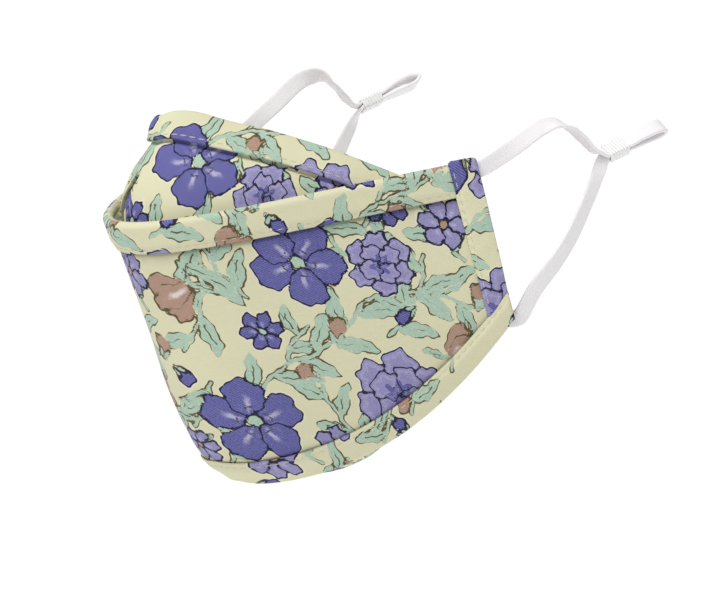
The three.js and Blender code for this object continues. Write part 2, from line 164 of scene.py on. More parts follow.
chinForm = {"foot": 7.0, "setback": 50.0, "drop": 3.0, "inset": 6.0, "sideRise": 20.0, "sag": 5.0,
            "roll": 8.0, "rollPlace": 0.84, "rollWidth": 0.13, "middle": 0.45, "wall": 1.4}
sleeve = {"width": 8.6, "wall": 1.0, "proud": 1.3, "strapPlay": 0.6, "endGap": 0.35}
bands = {"upper": 9.4, "lower": 8.7, "hem": 9.0}


def makeRail(bend, steps=400):
    q = np.linspace(0, form["halfArc"] / bend, steps + 1)
    turn = math.radians(form["sideAngle"]) * q / np.hypot(1, q)
    mean = (turn[1:] + turn[:-1]) / 2
    step = form["halfArc"] / steps
    x = np.concatenate([[0], np.cumsum(step * np.cos(mean))])
    y = np.concatenate([[0], np.cumsum(step * np.sin(mean))])
    grid = np.linspace(0, 1, steps + 1)

    def rail(share):
        a = np.clip(np.abs(share), 0, 1)
        return np.interp(a, grid, x), np.interp(a, grid, y), np.interp(a, grid, turn)
    return rail


rails = {name: makeRail(form[name + "Bend"]) for name in ("lip", "fold", "nose", "chin")}
halfWidth, depth, _ = (float(v) for v in rails["lip"](1.0))


def stack(x, y, z):
    return np.stack(np.broadcast_arrays(x, y, z), axis=-1).astype(float)


def onRail(name, share, width, setback, z):
    x, y, _ = rails[name](share)
    endX, endY, _ = rails[name](1.0)
    return stack(np.sign(share) * x / endX * width, (y / endY - 1) * (depth - setback), z)


def outward(share):
    turn = rails["lip"](share)[2]
    return stack(np.sign(share) * np.sin(turn), -np.cos(turn), 0.0)


def spread(*values):
    return np.broadcast_arrays(*(np.asarray(value, float) for value in values))


def fallLength(share):
    # a parabola through the three falls
    a = np.abs(share)
    slope = 4 * form["middleFall"] - 3 * form["centreFall"] - form["sideFall"]
    curve = 2 * form["sideFall"] + 2 * form["centreFall"] - 4 * form["middleFall"]
    return form["centreFall"] + slope * a + curve * a * a


def lipHeight(share):
    return form["sideFall"] / 2 + form["lipRise"] * (1 - share * share)


def foldPoint(share):
    return onRail("fold", share, halfWidth + form["foldFlare"], form["foldSetback"],
                  lipHeight(share) - fallLength(share))


def softStep(k):
    k = np.clip(k, 0, 1)
    return k * k * (3 - 2 * k)


def mix(a, b, k):
    return a + (b - a) * np.asarray(k)[..., None]


def bezier(a, b, c, k):
    k = np.asarray(k)[..., None]
    return a * (1 - k) ** 2 + b * 2 * k * (1 - k) + c * k * k


def hump(x, width, middle=0.0):
    return np.exp(-((x - middle) / width) ** 2)


def frontFace(share, down):
    # down is the way below the lip along the cloth, in millimetres
    share, down = spread(share, down)
    f = form
    fall = down / fallLength(share)
    inside = np.clip(fall, 0, 1)
    bulge = f["puff"] * 4 * inside * (1 - inside)   # 4 and 6.75 bring each swelling's top to one
    bulge = bulge + f["lowPuff"] * 6.75 * inside**2 * (1 - inside)
    bulge = bulge * (1 - f["puffLoss"] * np.abs(share))
    bow = f["bow"] * hump(share, f["bowWidth"]) * softStep((inside - f["bowStart"]) / f["bowReach"])
    rounding = softStep((inside - f["footStart"]) / f["footReach"])
    bulge = bulge + bow * (1 - f["footLoss"] * rounding)
    lip = onRail("lip", share, halfWidth, 0.0, lipHeight(share))
    place = mix(lip, foldPoint(share), fall) + outward(share) * bulge[..., None]
    place[..., 2] += f["foldLift"] * hump(share, f["foldLiftWidth"]) * inside**3
    return place


def noseTuck(x, rise):
    # how deep the tuck is, from 0 to 1; it leans to the far side as it goes down
    n = noseForm
    low = (1 - (rise / n["creaseReach"]) ** 2).clip(0, 1)
    off = np.hypot(x + n["creaseLean"] * low, n["creaseRound"]) / (n["creaseWidth"] + n["creaseSpread"] * low)
    return (1 - off).clip(0, 1) ** n["creaseSharp"] * low


def noseFace(share, rise):
    share, rise = spread(share, rise)
    n, a = noseForm, np.abs(share)
    inset = form["wall"] + form["gap"] + (form["bandWall"] + form["gap"]) * a * a
    foot = frontFace(share, np.full_like(share, n["foot"])) - outward(share) * inset[..., None]
    top = lipHeight(0.0) + n["rise"]
    bottom = form["sideFall"] / 2 - n["sideDrop"]
    z = top + (bottom - top) * ((1 - n["sag"]) * a + n["sag"] * a * a)
    hem = onRail("nose", share, halfWidth - n["inset"], n["setback"], z)
    middle = (foot + hem) / 2 + outward(share) * (n["bulge"] * (1 - a))[..., None]
    middle[..., 2] += n["lift"] * (1 - a)
    p = bezier(foot, middle, hem, rise)
    x = share * form["halfArc"]
    tuck = noseTuck(x, rise) * n["crease"]
    p[..., 0] -= tuck * n["creaseSide"]
    p[..., 1] += tuck
    pinch = hump(x, n["pinchWidth"], n["pinchPlace"]) * softStep((rise - n["pinchStart"]) / n["pinchReach"])
    lobe = hump(x, n["lobeWidth"], n["lobePlace"]) * hump(rise, n["lobeTall"], n["lobeRise"])
    p[..., 1] += n["pinch"] * pinch - n["lobe"] * lobe
    brow = softStep((rise - n["browStart"]) / n["browReach"])   # the hem stands upright at the crest
    p[..., 1] -= n["brow"] * hump(x, n["browWidth"]) * brow
    drop = n["peakDrop"] * hump(x.clip(0, None), n["peakWidth"])
    drop = drop + n["farDrop"] * softStep(-x / n["farWidth"])
    drop = drop - n["crest"] * hump(x, n["crestWidth"], n["crestPlace"])
    p[..., 2] -= drop * hump((x + n["fadePlace"]).clip(None, 0), n["fadeWidth"]) * rise**2
    return p


def chinFace(share, rise):
    share, rise = spread(share, rise)
    c, a = chinForm, np.abs(share)
    inset = form["wall"] + 2 * form["gap"]
    foot = frontFace(share, fallLength(share) - c["foot"]) - outward(share) * inset
    fold, side = foldPoint(share), foldPoint(np.ones(1))
    z = mix(fold[..., 2:] - c["drop"] * (1 - a)[..., None], side[..., 2:] + c["sideRise"], a * a)[..., 0]
    edge = onRail("chin", share, halfWidth + form["foldFlare"] - c["inset"], c["setback"], z)
    roll = c["roll"] * hump(a, c["rollWidth"], c["rollPlace"])
    middle = mix(fold, edge, np.full_like(a, c["middle"])) - outward(share) * form["wall"]
    middle[..., 2] = fold[..., 2] - c["sag"] - roll
    return bezier(foot, middle, edge, rise)


def lengthOf(face, steps=16):
    # a panel's length along the cloth, for any share of the way across
    grid, rows = np.linspace(-1, 1, 201), np.linspace(0, 1, steps + 1)
    ways = np.diff(face(grid[:, None], rows[None, :]), axis=1)
    lengths = np.linalg.norm(ways, axis=-1).sum(axis=1)
    return lambda share: np.interp(share, grid, lengths)


noseLength, chinLength = lengthOf(noseFace), lengthOf(chinFace)


def noseDown(share, down):
    # the same face, measured in millimetres down from the hem
    share, down = spread(share, down)
    return noseFace(share, 1 - down / noseLength(share))


def chinDown(share, down):
    share, down = spread(share, down)
    return chinFace(share, down / chinLength(share))


def lowerFace(share, down):
    # the front face measured up from the chin fold
    share, down = spread(share, down)
    return frontFace(share, fallLength(share) - down)


def zeroLength(share):
    return np.zeros_like(share)


def normalOf(face, share, down, e=1e-3, d=0.1):
    across = face(share + e, down) - face(share - e, down)
    along = face(share, down + d) - face(share, down - d)
    n = np.cross(along, across)
    return n / np.maximum(np.linalg.norm(n, axis=-1, keepdims=True), 1e-9)


waves = {"count": 7, "round": 6.283, "pitches": (0.6, 1.7)}


def ripple(x, y, scale, seed):
    # a smooth waviness with no direction of its own, from -1 to 1
    rng = np.random.default_rng(seed)
    total = np.zeros(np.broadcast(x, y).shape)
    for _ in range(waves["count"]):
        angle, phase = rng.uniform(0, waves["round"]), rng.uniform(0, waves["round"])
        k = waves["round"] / (scale * rng.uniform(*waves["pitches"]))
        total += np.sin(k * (x * math.cos(angle) + y * math.sin(angle)) + phase)
    return total / waves["count"]


# the flower print: its repeat and its motifs, in millimetres of flat cloth
repeat = {"wide": 98.0, "high": 84.0, "reach": 2.0}
inks = ("violet", "lilac", "rose", "mint")
fields = inks + ("line", "near", "streak", "spot")   # line is signed across an outline, near is not
vines = [  # from, to, bend, number of leaves, leaf length
    (4, 4, 33, 36, 8, 5, 14), (33, 36, 62, 50, -7, 5, 15), (62, 50, 94, 42, 7, 5, 15),
    (50, 2, 40, 28, 5, 4, 14), (66, 38, 84, 60, -6, 4, 15), (22, 80, 6, 44, 8, 5, 15),
    (58, 84, 63, 64, -4, 3, 14), (84, 2, 97, 28, -5, 5, 13), (30, 58, 24, 78, 4, 4, 14),
    (80, 12, 72, 0, 3, 3, 12), (96, 56, 88, 80, 4, 4, 14), (38, 76, 58, 82, -3, 4, 12),
    (33, 36, 43, 46, 2, 2, 12), (10, 34, 0, 20, 3, 3, 12), (78, 84, 70, 72, 2, 2, 12)]
blooms = [  # kind, across, down, size, turn, ink
    ("bud", 51, 42, 5.2, 70, "rose"), ("bud", 39, 31, 4.6, 140, "rose"), ("bud", 29, 82, 4.4, 10, "violet"),
    ("bud", 97, 44, 4.8, 80, "rose"), ("bud", 74, 44, 4.2, 200, "violet"), ("bud", 3, 37, 4.2, 300, "violet"),
    ("bud", 84, 8, 4.4, 250, "rose"), ("bud", 57, 80, 4.2, 30, "rose"), ("bud", 80, 84, 3.8, 120, "violet"),
    ("tulip", 11, 62, 10.5, 205, "rose"), ("tulip", 86, 30, 9.5, 20, "rose"),
    ("daisy", 37, 7, 7.6, 10, "lilac"), ("daisy", 93, 68, 8.0, 40, "lilac"),
    ("daisy", 30, 47, 6.4, 0, "violet"), ("daisy", 78, 76, 6.2, 25, "violet"),
    ("daisy", 97, 13, 6.0, 5, "lilac"),
    ("anemone", 17, 20, 13.6, 12, "violet"), ("anemone", 48, 65, 13.2, 50, "violet"),
    ("peony", 63, 20, 14.0, 0, "lilac"), ("peony", 71, 60, 9.6, 70, "lilac")]
blank = {"near": 9.0, "join": -0.12}   # the distance where nothing is drawn, and where two shapes join


def turned(x, y, angle):
    c, s = math.cos(angle), math.sin(angle)
    return x * c + y * s, -x * s + y * c


def wrapped(value, period):
    return (value + period / 2) % period - period / 2


def dot(x, y, cx, cy, r):
    return np.hypot(x - cx, y - cy) - r


def lower(canvas, name, at, edge):
    # adds a shape to what one ink already has
    canvas[name][at] = np.minimum(canvas[name][at], edge)


def glaze(canvas, at, edge, glow):
    # pale streaks inside a shape
    canvas["streak"][at] = np.where(edge < 0, glow, canvas["streak"][at])


def paint(canvas, at, edge, ink, joined=False):
    # lays one shape over the others; edge is the distance outside its outline
    clear = canvas[ink][at] > blank["join"] if joined else True
    for name in (*inks, "spot"):
        canvas[name][at] = np.maximum(canvas[name][at], -edge)
    glaze(canvas, at, edge, 0)
    lower(canvas, ink, at, edge)
    canvas["near"][at] = np.maximum(canvas["near"][at], -edge)
    drawLine(canvas, at, edge, clear)


def drawLine(canvas, at, signed, where):
    closer = (np.abs(signed) < canvas["near"][at]) & where
    canvas["line"][at] = np.where(closer, signed, canvas["line"][at])
    canvas["near"][at] = np.where(closer, np.abs(signed), canvas["near"][at])


def petalEdge(x, y, angle, reach, long, broad, frill):
    a, b = turned(x, y, angle)
    a = a - reach
    flare = broad * (1 + 0.22 * np.tanh(a / long))
    around = np.arctan2(b / broad, a / long)
    return (np.hypot(a / long, b / flare) - 1) * min(long, broad) + frill * np.cos(6 * around + angle * 3)


# in the flowers every number is a share of the radius r, or an angle
def drawAnemone(canvas, at, x, y, r, ink):
    for k in (0, 2, 4, 1, 3):
        angle = math.radians(72 * k) + 0.1 * math.sin(k * 2.3)
        edge = petalEdge(x, y, angle, 0.58 * r, 0.44 * r, 0.40 * r, 0.022 * r)
        paint(canvas, at, edge, ink)
        a, b = turned(x, y, angle)
        glow = hump(b, 0.12 * r + 0.16 * a.clip(0)) * hump(a, 0.24 * r, 0.4 * r)
        glow = glow * (0.62 + 0.5 * np.cos(17 * np.arctan2(b, a + 0.15 * r)))   # fine streaks from the heart
        glaze(canvas, at, edge, glow)
        for q in (angle - 0.22, angle, angle + 0.22):
            lower(canvas, "spot", at, dot(x, y, 0.33 * r * math.cos(q), 0.33 * r * math.sin(q), 0.024 * r))
    paint(canvas, at, dot(x, y, 0, 0, 0.15 * r) + 0.012 * r * np.cos(5 * np.arctan2(y, x)), "mint")


def drawPeony(canvas, at, x, y, r, ink):
    for count, reach, long, broad, start in ((6, 0.6, 0.42, 0.37, 0.2), (4, 0.33, 0.32, 0.34, 0.8)):
        for k in range(count):
            angle = start + math.tau * ((k * (count - 1)) % count) / count
            edge = petalEdge(x, y, angle, reach * r, long * r, broad * r, 0.035 * r)
            paint(canvas, at, edge, ink)
            glaze(canvas, at, edge, 0.55 * hump(edge, 0.07 * r, -0.10 * r))
    lower(canvas, "violet", at, dot(x, y, 0, 0, 0.3 * r) + 0.08 * r * np.cos(7 * np.arctan2(y, x)))
    for k in range(9):
        q, far = k * 2.4, (0.06 + 0.025 * k) * r
        lower(canvas, "spot", at, dot(x, y, far * math.cos(q), far * math.sin(q), 0.02 * r))


def drawDaisy(canvas, at, x, y, r, ink):
    for k in (0, 3, 1, 4, 2, 5):
        angle = math.tau * k / 6
        edge = petalEdge(x, y, angle, 0.56 * r, 0.42 * r, 0.30 * r, 0.02 * r)
        paint(canvas, at, edge, ink)
        a, b = turned(x, y, angle)
        glaze(canvas, at, edge, 0.8 * hump(b, 0.1 * r) * hump(a, 0.2 * r, 0.4 * r))
    paint(canvas, at, dot(x, y, 0, 0, 0.2 * r), "rose" if ink == "lilac" else "mint")


def drawTulip(canvas, at, x, y, r, ink):
    for angle in (2.3, -2.3):
        drawLeaf(canvas, at, x + 0.45 * r, y, angle, 0.85 * r, 0.17 * r)
    for tilt in (0.5, -0.5, 0.0):
        edge = petalEdge(x + 0.42 * r, y, tilt, 0.62 * r, 0.62 * r, 0.34 * r, 0.02 * r)
        paint(canvas, at, edge, ink)
        glow = hump(y - tilt * 0.5 * (x + 0.4 * r), 0.09 * r) * hump(x, 0.4 * r, 0.02 * r)
        glaze(canvas, at, edge, glow * 1.25)


def drawBud(canvas, at, x, y, r, ink):
    paint(canvas, at, petalEdge(x, y, 0.0, 0.25 * r, 0.78 * r, 0.52 * r, 0.02 * r), ink)
    for angle in (0.45, -0.45):
        cup = petalEdge(x + 0.75 * r, y, angle, 0.45 * r, 0.5 * r, 0.2 * r, 0.0)
        paint(canvas, at, cup, "mint", joined=True)


leaf = {"sag": 0.12, "broad": 2.1, "tooth": 0.12, "teeth": 15, "slope": 0.85, "vein": (0.2, 0.72)}


def drawLeaf(canvas, at, x, y, angle, length, broad):
    a, b = turned(x, y, angle)
    a = a / length
    b = b - leaf["sag"] * length * a * (1 - a)
    k = a.clip(0, 1)
    tooth = 1 + leaf["tooth"] * np.cos(k * leaf["teeth"] + 0.8 * np.tanh(b))
    half = broad * leaf["broad"] * k**0.6 * (1 - k) ** 0.75 * tooth
    beyond = np.hypot(b, length * np.maximum(-a, a - 1))
    edge = np.where((a > 0) & (a < 1), (np.abs(b) - half) * leaf["slope"], beyond)
    paint(canvas, at, edge, "mint", joined=True)
    drawLine(canvas, at, b, (a > leaf["vein"][0]) & (a < leaf["vein"][1]))


vine = {"stem": 0.65, "lean": 0.85, "leans": (0.75, 1.2), "lengths": (0.78, 1.05), "broad": 0.195, "steps": 15}


def drawVine(canvas, x, y, row, rng):
    x0, y0, x1, y1, bend, leaves, size = row
    start, end = np.array([x0, y0], float), np.array([x1, y1], float)
    way = end - start
    middle = (start + end) / 2 + np.array([-way[1], way[0]]) / np.hypot(*way) * bend
    shiftX = wrapped(x - middle[0], repeat["wide"]) + middle[0]
    shiftY = wrapped(y - middle[1], repeat["high"]) + middle[1]
    reach = np.hypot(*way) / 2 + abs(bend) + size + 4
    at = np.flatnonzero(dot(shiftX, shiftY, *middle, reach) < 0)
    px, py = shiftX[at], shiftY[at]
    line = bezier(start, middle, end, np.linspace(0, 1, vine["steps"]))
    stem = np.full(len(at), blank["near"])
    for a, b in zip(line[:-1], line[1:]):
        d = b - a
        t = (((px - a[0]) * d[0] + (py - a[1]) * d[1]) / (d @ d)).clip(0, 1)
        stem = np.minimum(stem, np.hypot(px - a[0] - t * d[0], py - a[1] - t * d[1]))
    paint(canvas, at, stem - vine["stem"], "mint", joined=True)
    for i in range(leaves):
        t = (i + 0.6) / (leaves + 0.3)
        root = bezier(start, middle, end, t)
        tangent = (middle - start) * (1 - t) + (end - middle) * t
        lean = (vine["lean"] if i % 2 else -vine["lean"]) * rng.uniform(*vine["leans"])
        drawLeaf(canvas, at, px - root[0], py - root[1], math.atan2(tangent[1], tangent[0]) + lean,
                 size * rng.uniform(*vine["lengths"]), size * vine["broad"])


drawers = {"anemone": drawAnemone, "peony": drawPeony, "daisy": drawDaisy, "tulip": drawTulip, "bud": drawBud}


def printAt(x, y):
    # the distance to each ink's outline at points of the flat cloth, along slightly unsteady lines
    shape = x.shape
    x, y = x.ravel(), y.ravel()
    handX = x + 0.35 * np.sin(y * 0.71 + 1.1) + 0.18 * np.sin(y * 1.9 + x * 0.6)
    handY = y + 0.35 * np.sin(x * 0.63 + 0.4) + 0.18 * np.sin(x * 2.1 - y * 0.5)
    canvas = {name: np.full(len(x), 0.0 if name == "streak" else blank["near"]) for name in fields}
    rng = np.random.default_rng(7)
    for row in vines:
        drawVine(canvas, handX, handY, row, rng)
    for kind, cx, cy, size, turn, ink in blooms:
        dx, dy = wrapped(handX - cx, repeat["wide"]), wrapped(handY - cy, repeat["high"])
        at = np.flatnonzero(np.hypot(dx, dy) < size * 1.6 + 3)
        drawers[kind](canvas, at, *turned(dx[at], dy[at], math.radians(turn)), size, ink)
    reach = repeat["reach"]
    found = [canvas[name].clip(-reach, reach).reshape(shape) for name in fields]
    return np.stack(found[:4], axis=-1), np.stack(found[4:], axis=-1)


def printLayers(cloth):
    first, second = printAt(cloth[..., 0], cloth[..., 1])
    return {"cloth": cloth, "inkMain": first, "inkLine": second}


# cross-sections of the cloth: (share of the length, millimetres more, height over the face)
def halfRound(k, place, middle, r, side, over, steps=6):
    return [(k, place + side * r * math.sin(a), middle + over * r * math.cos(a))
            for a in np.linspace(0, math.pi, steps)[1:-1]]


def flatSection(top, bottom, back, rows, backRows):
    r, middle = -back / 2, back / 2

    def row(k, off):
        return (k, top + r - k * (top + bottom + 2 * r), off)
    section = [row(i / rows, 0.0) for i in range(rows + 1)] + halfRound(1.0, -bottom - r, middle, r, 1, 1)
    section += [row(1 - i / backRows, back) for i in range(backRows + 1)]
    section += halfRound(0.0, top + r, middle, r, -1, -1)
    return section + [section[0]]


def hemSection(deep, over=-1.5, under=1.2, rows=14):
    # a folded hem: it rounds over the panel's edge and lies on its face
    front, lift = proudBand, 0.45
    r, small = (front - over) / 2, (front - lift) / 2
    low = deep - small
    section = [(0.0, low - i / rows * (low - under), front) for i in range(rows + 1)]
    section += halfRound(0.0, under, (front + over) / 2, r, -1, 1, 11)
    section += [(0.0, under, over), (0.0, under + 0.5, over + 0.25), (0.0, under + 0.6, lift - 0.3)]
    section += [(0.0, under + 0.7 + k * (low - under - 0.7), lift) for k in (0, 0.35, 0.7, 1)]
    section += halfRound(0.0, low, (front + lift) / 2, small, 1, -1)
    return section + [section[0]]


def setLayers(mesh, layers):
    # a layer of three values is a place on the cloth, and one of four holds distances
    for key, values in layers.items():
        kind, field = ("FLOAT_COLOR", "color") if values.shape[-1] == 4 else ("FLOAT_VECTOR", "vector")
        mesh.attributes.new(key, kind, "POINT").data.foreach_set(field, values.astype(np.float32).ravel())


def verticesOf(mesh):
    spots = np.empty(len(mesh.vertices) * 3, np.float32)
    mesh.vertices.foreach_get("co", spots)
    return spots.reshape(-1, 3)


def moveVertices(mesh, places):
    mesh.vertices.foreach_set("co", (places * mm).astype(np.float32).ravel())


def smoothInto(bm, mesh):
    bmesh.ops.recalc_face_normals(bm, faces=bm.faces)
    bm.to_mesh(mesh)
    bm.free()
    mesh.polygons.foreach_set("use_smooth", [True] * len(mesh.polygons))


def ringMesh(name, positions, layers):
    # a grid laid round and along a form, closed on itself round and capped at its ends
    along, around = positions.shape[:2]
    bm = bmesh.new()
    bmesh.ops.create_grid(bm, x_segments=along - 1, y_segments=around - 1, size=0.5)
    mesh = bpy.data.meshes.new(name)
    bm.to_mesh(mesh)
    bm.free()
    cells = verticesOf(mesh)[:, :2] + 0.5
    i = np.rint(cells[:, 0] * (along - 1)).astype(int)
    j = np.rint(cells[:, 1] * (around - 1)).astype(int)
    moveVertices(mesh, positions[i, j])
    setLayers(mesh, {key: values[i, j] for key, values in layers.items()})
    bm = bmesh.new()
    bm.from_mesh(mesh)
    bmesh.ops.remove_doubles(bm, verts=bm.verts, dist=2e-6)
    rim = [e for e in bm.edges if e.is_boundary]
    if rim:
        bmesh.ops.holes_fill(bm, edges=rim, sides=0)
    smoothInto(bm, mesh)
    return mesh


def addPiece(name, mesh, material, slotName, *nodes):
    piece = bpy.data.objects.new(name, mesh)
    bpy.context.collection.objects.link(piece)
    mesh.materials.clear()
    mesh.materials.append(material)
    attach(piece, "root")
    if nodes:
        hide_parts(*nodes)


def laySheet(name, face, length, section, shares, chart, relief, flip=1):
    # chart is where the piece lies on the print; flip is -1 on a face that is measured upwards
    rows = np.array(section)
    share = shares[:, None]
    down = rows[None, :, 0] * length(share) + rows[None, :, 1]
    share = np.broadcast_to(share, down.shape)
    off = np.broadcast_to(rows[None, :, 2], down.shape)
    x = share * form["halfArc"]
    place = face(share, down) + normalOf(face, share, down) * (off + relief(x, down, off))[..., None] * flip
    middle = (rows[:, 2].max() + rows[:, 2].min()) / 2
    outside = (off > middle - 0.2).astype(float)
    cloth = np.stack([x + chart[0], chart[1] - down * flip, outside], axis=-1)
    return ringMesh(name, place, printLayers(cloth))


panels = {"step": 0.64, "chinStep": 0.8, "tuckStep": 0.2, "frontRows": 150, "noseRows": 78, "chinRows": 50,
          "chinBackRows": 24, "backRows": 34, "turning": 2.1,
          "dip": 0.9, "dipPlace": 0.15, "dipWidth": 0.6, "pressed": 0.8}


def evenShares(end, step=panels["step"]):
    return np.linspace(-end, end, int(2 * end * form["halfArc"] / step) + 1)


proudBand = form["gap"] + form["bandWall"]
panelEnd = 1 - (sleeve["width"] + sleeve["endGap"]) / form["halfArc"]
clothEnd = panelEnd + 0.6 / form["halfArc"]   # the cloth's ends are sewn into the sleeves' edges

# materials, in linear colour
tones = {"ground": (0.655, 0.635, 0.41), "violet": (0.038, 0.036, 0.228), "lilac": (0.215, 0.19, 0.42),
         "rose": (0.345, 0.195, 0.13), "mint": (0.34, 0.49, 0.375), "navy": (0.004, 0.003, 0.028),
         "olive": (0.095, 0.068, 0.020), "paleInk": (0.56, 0.53, 0.72), "spot": (0.01, 0.007, 0.06)}


def wire(tree, node, values):
    # links each value that is a socket, and sets the others
    for key, value in values.items():
        if isinstance(value, bpy.types.NodeSocket):
            tree.links.new(value, node.inputs[key])
        else:
            node.inputs[key].default_value = value


def addNode(tree, kind, values=None, **settings):
    node = tree.nodes.new(kind)
    for key, value in settings.items():
        setattr(node, key, value)
    wire(tree, node, values or {})
    return node.outputs


def calc(tree, operation, first, second=0.0, third=0.0):
    return addNode(tree, "ShaderNodeMath", {0: first, 1: second, 2: third}, operation=operation)[0]


def product(tree, first, *others):
    for value in others:
        first = calc(tree, "MULTIPLY", first, value)
    return first


def noise(tree, place, scale, detail, rough=0.5):
    values = {"Vector": place, "Scale": scale, "Detail": detail, "Roughness": rough}
    return addNode(tree, "ShaderNodeTexNoise", values)["Fac"]


def ramp(tree, value, source, result=(0.0, 1.0), kind="LINEAR"):
    ends = dict(zip(("From Min", "From Max", "To Min", "To Max"), (*source, *result)))
    return addNode(tree, "ShaderNodeMapRange", {"Value": value, **ends}, interpolation_type=kind)["Result"]


def blend(tree, amount, *colours):
    first, second = (v if isinstance(v, bpy.types.NodeSocket) else (*v, 1) for v in colours)
    return addNode(tree, "ShaderNodeMix", {0: amount, 6: first, 7: second}, data_type="RGBA")[2]


def attribute(tree, name):
    return addNode(tree, "ShaderNodeAttribute", attribute_name=name)


def dressed(name, makePattern, look):
    # a pattern gives its colour, its roughness and its height; the look holds the constants
    material, tree, shader = newMaterial(name)
    colour, rough, height = makePattern(tree, look)
    strength, distance = look["bump"]
    bump = addNode(tree, "ShaderNodeBump", {"Height": height, "Strength": strength, "Distance": distance})
    wire(tree, shader, {"Base Color": colour, "Roughness": rough, "Normal": bump["Normal"], **look["surface"]})
    return material


def newGroup(name, ins, outs):
    # an input with no start value is a vector
    group = bpy.data.node_groups.new(name, "ShaderNodeTree")
    for label, value in ins.items():
        kind = "NodeSocketVector" if value is None else "NodeSocketFloat"
        socket = group.interface.new_socket(label, in_out="INPUT", socket_type=kind)
        if value is not None:
            socket.default_value = value
    for label in outs:
        group.interface.new_socket(label, in_out="OUTPUT", socket_type="NodeSocketFloat")
    return group, group.nodes.new("NodeGroupInput").outputs, group.nodes.new("NodeGroupOutput")


def useGroup(tree, group, **values):
    return addNode(tree, "ShaderNodeGroup", values, node_tree=group)


inkEdge = {"noise": 1.1, "detail": 3.0, "soft": 0.07}
weaveForm = {"pitch": 0.54, "along": (0.62, 0.78), "cross": (0.94, 0.34), "crossPitch": 1.7,
             "wander": 0.5, "crossHeight": 0.35, "longHeight": 0.65, "shade": 0.35}


def makeInkGroup():
    # a crisp ink mask from a distance, with the ragged edge of a printed outline
    group, given, result = newGroup("inkMask", {"Distance": 0.0, "Width": 0.0, "Ragged": 0.0, "Cloth": None},
                                    ["Mask"])
    rough = noise(group, given["Cloth"], inkEdge["noise"], inkEdge["detail"])
    shift = product(group, calc(group, "SUBTRACT", rough, 0.5), given["Ragged"])
    edge = calc(group, "ADD", calc(group, "SUBTRACT", given["Distance"], given["Width"]), shift)
    mask = ramp(group, edge, (-inkEdge["soft"], inkEdge["soft"]), (1.0, 0.0), "SMOOTHSTEP")
    wire(group, result, {"Mask": mask})
    return group


def makeWeaveGroup():
    # sateen: long floats on a steep diagonal, crossed by finer threads
    w = weaveForm
    group, given, result = newGroup("sateenWeave", {"Cloth": None, "Pitch": w["pitch"]}, ["Height", "Shade"])
    x, y = addNode(group, "ShaderNodeSeparateXYZ", {0: given["Cloth"]})[:2]
    wander = product(group, noise(group, given["Cloth"], 0.7, 2.0), w["wander"])
    way = calc(group, "MULTIPLY_ADD", y, w["along"][1], product(group, x, w["along"][0]))
    cross = calc(group, "SUBTRACT", product(group, x, w["cross"][0]), product(group, y, w["cross"][1]))
    turn = calc(group, "DIVIDE", math.tau, given["Pitch"])
    diagonal = calc(group, "SINE", product(group, calc(group, "ADD", way, wander), turn))
    thread = calc(group, "SINE", product(group, cross, product(group, turn, w["crossPitch"])))
    height = calc(group, "MULTIPLY_ADD", thread, w["crossHeight"], product(group, diagonal, w["longHeight"]))
    # Shade is the floats' height with random flecks; it sets the roughness and a painted glint on the raised
    # floats
    fleck = noise(group, given["Cloth"], 3.2, 2.0)
    wire(group, result, {"Height": height, "Shade": calc(group, "MULTIPLY_ADD", height, w["shade"], fleck)})
    return group


inkMask, sateenWeave = makeInkGroup(), makeWeaveGroup()
cotton = {"faded": 0.16, "blot": 0.3, "blotShade": 0.9,   # the print's strength on the inside, and the ground
          "halo": (0.15, 0.75), "haloMost": 0.55, "haloTone": (0.78, 0.77, 0.64),   # pale rims of flowers
          "speck": (0.45, 0.75), "speckMost": 0.42, "streak": (0.0, 0.75), "streakMost": 0.72,
          "width": -0.1, "ragged": 0.2, "lineWidth": 0.21, "lineLoss": -0.22, "close": (0.42, 0.56),
          "cold": (0.3, 0.5), "pen": (0.36, 0.56), "seed": 0.12, "seedRagged": 0.1,
          # pale specks on the weave: random pale flecks and a painted glint on the raised floats, kept off the
          # outlines
          "thread": (0.2, 0.9), "threadMost": 0.2, "threadTone": (0.86, 0.86, 0.82), "threadLoss": -0.85,
          "rough": (0.62, 0.8), "bump": (0.22, 0.00012),
          "surface": {"Sheen Weight": 0.07, "Sheen Roughness": 0.4, "Specular IOR Level": 0.22}}
inkBodies = {   # how dark and how pale each ink goes, and the tone of its streaks
    "mint": (0.82, 1.12, None), "rose": (0.8, 1.15, (0.8, 0.76, 0.74)),
    "lilac": (0.8, 1.15, tones["paleInk"]), "violet": (0.66, 1.7, tones["paleInk"])}


def scaled(tone, factor):
    return tuple(v * factor for v in tone)


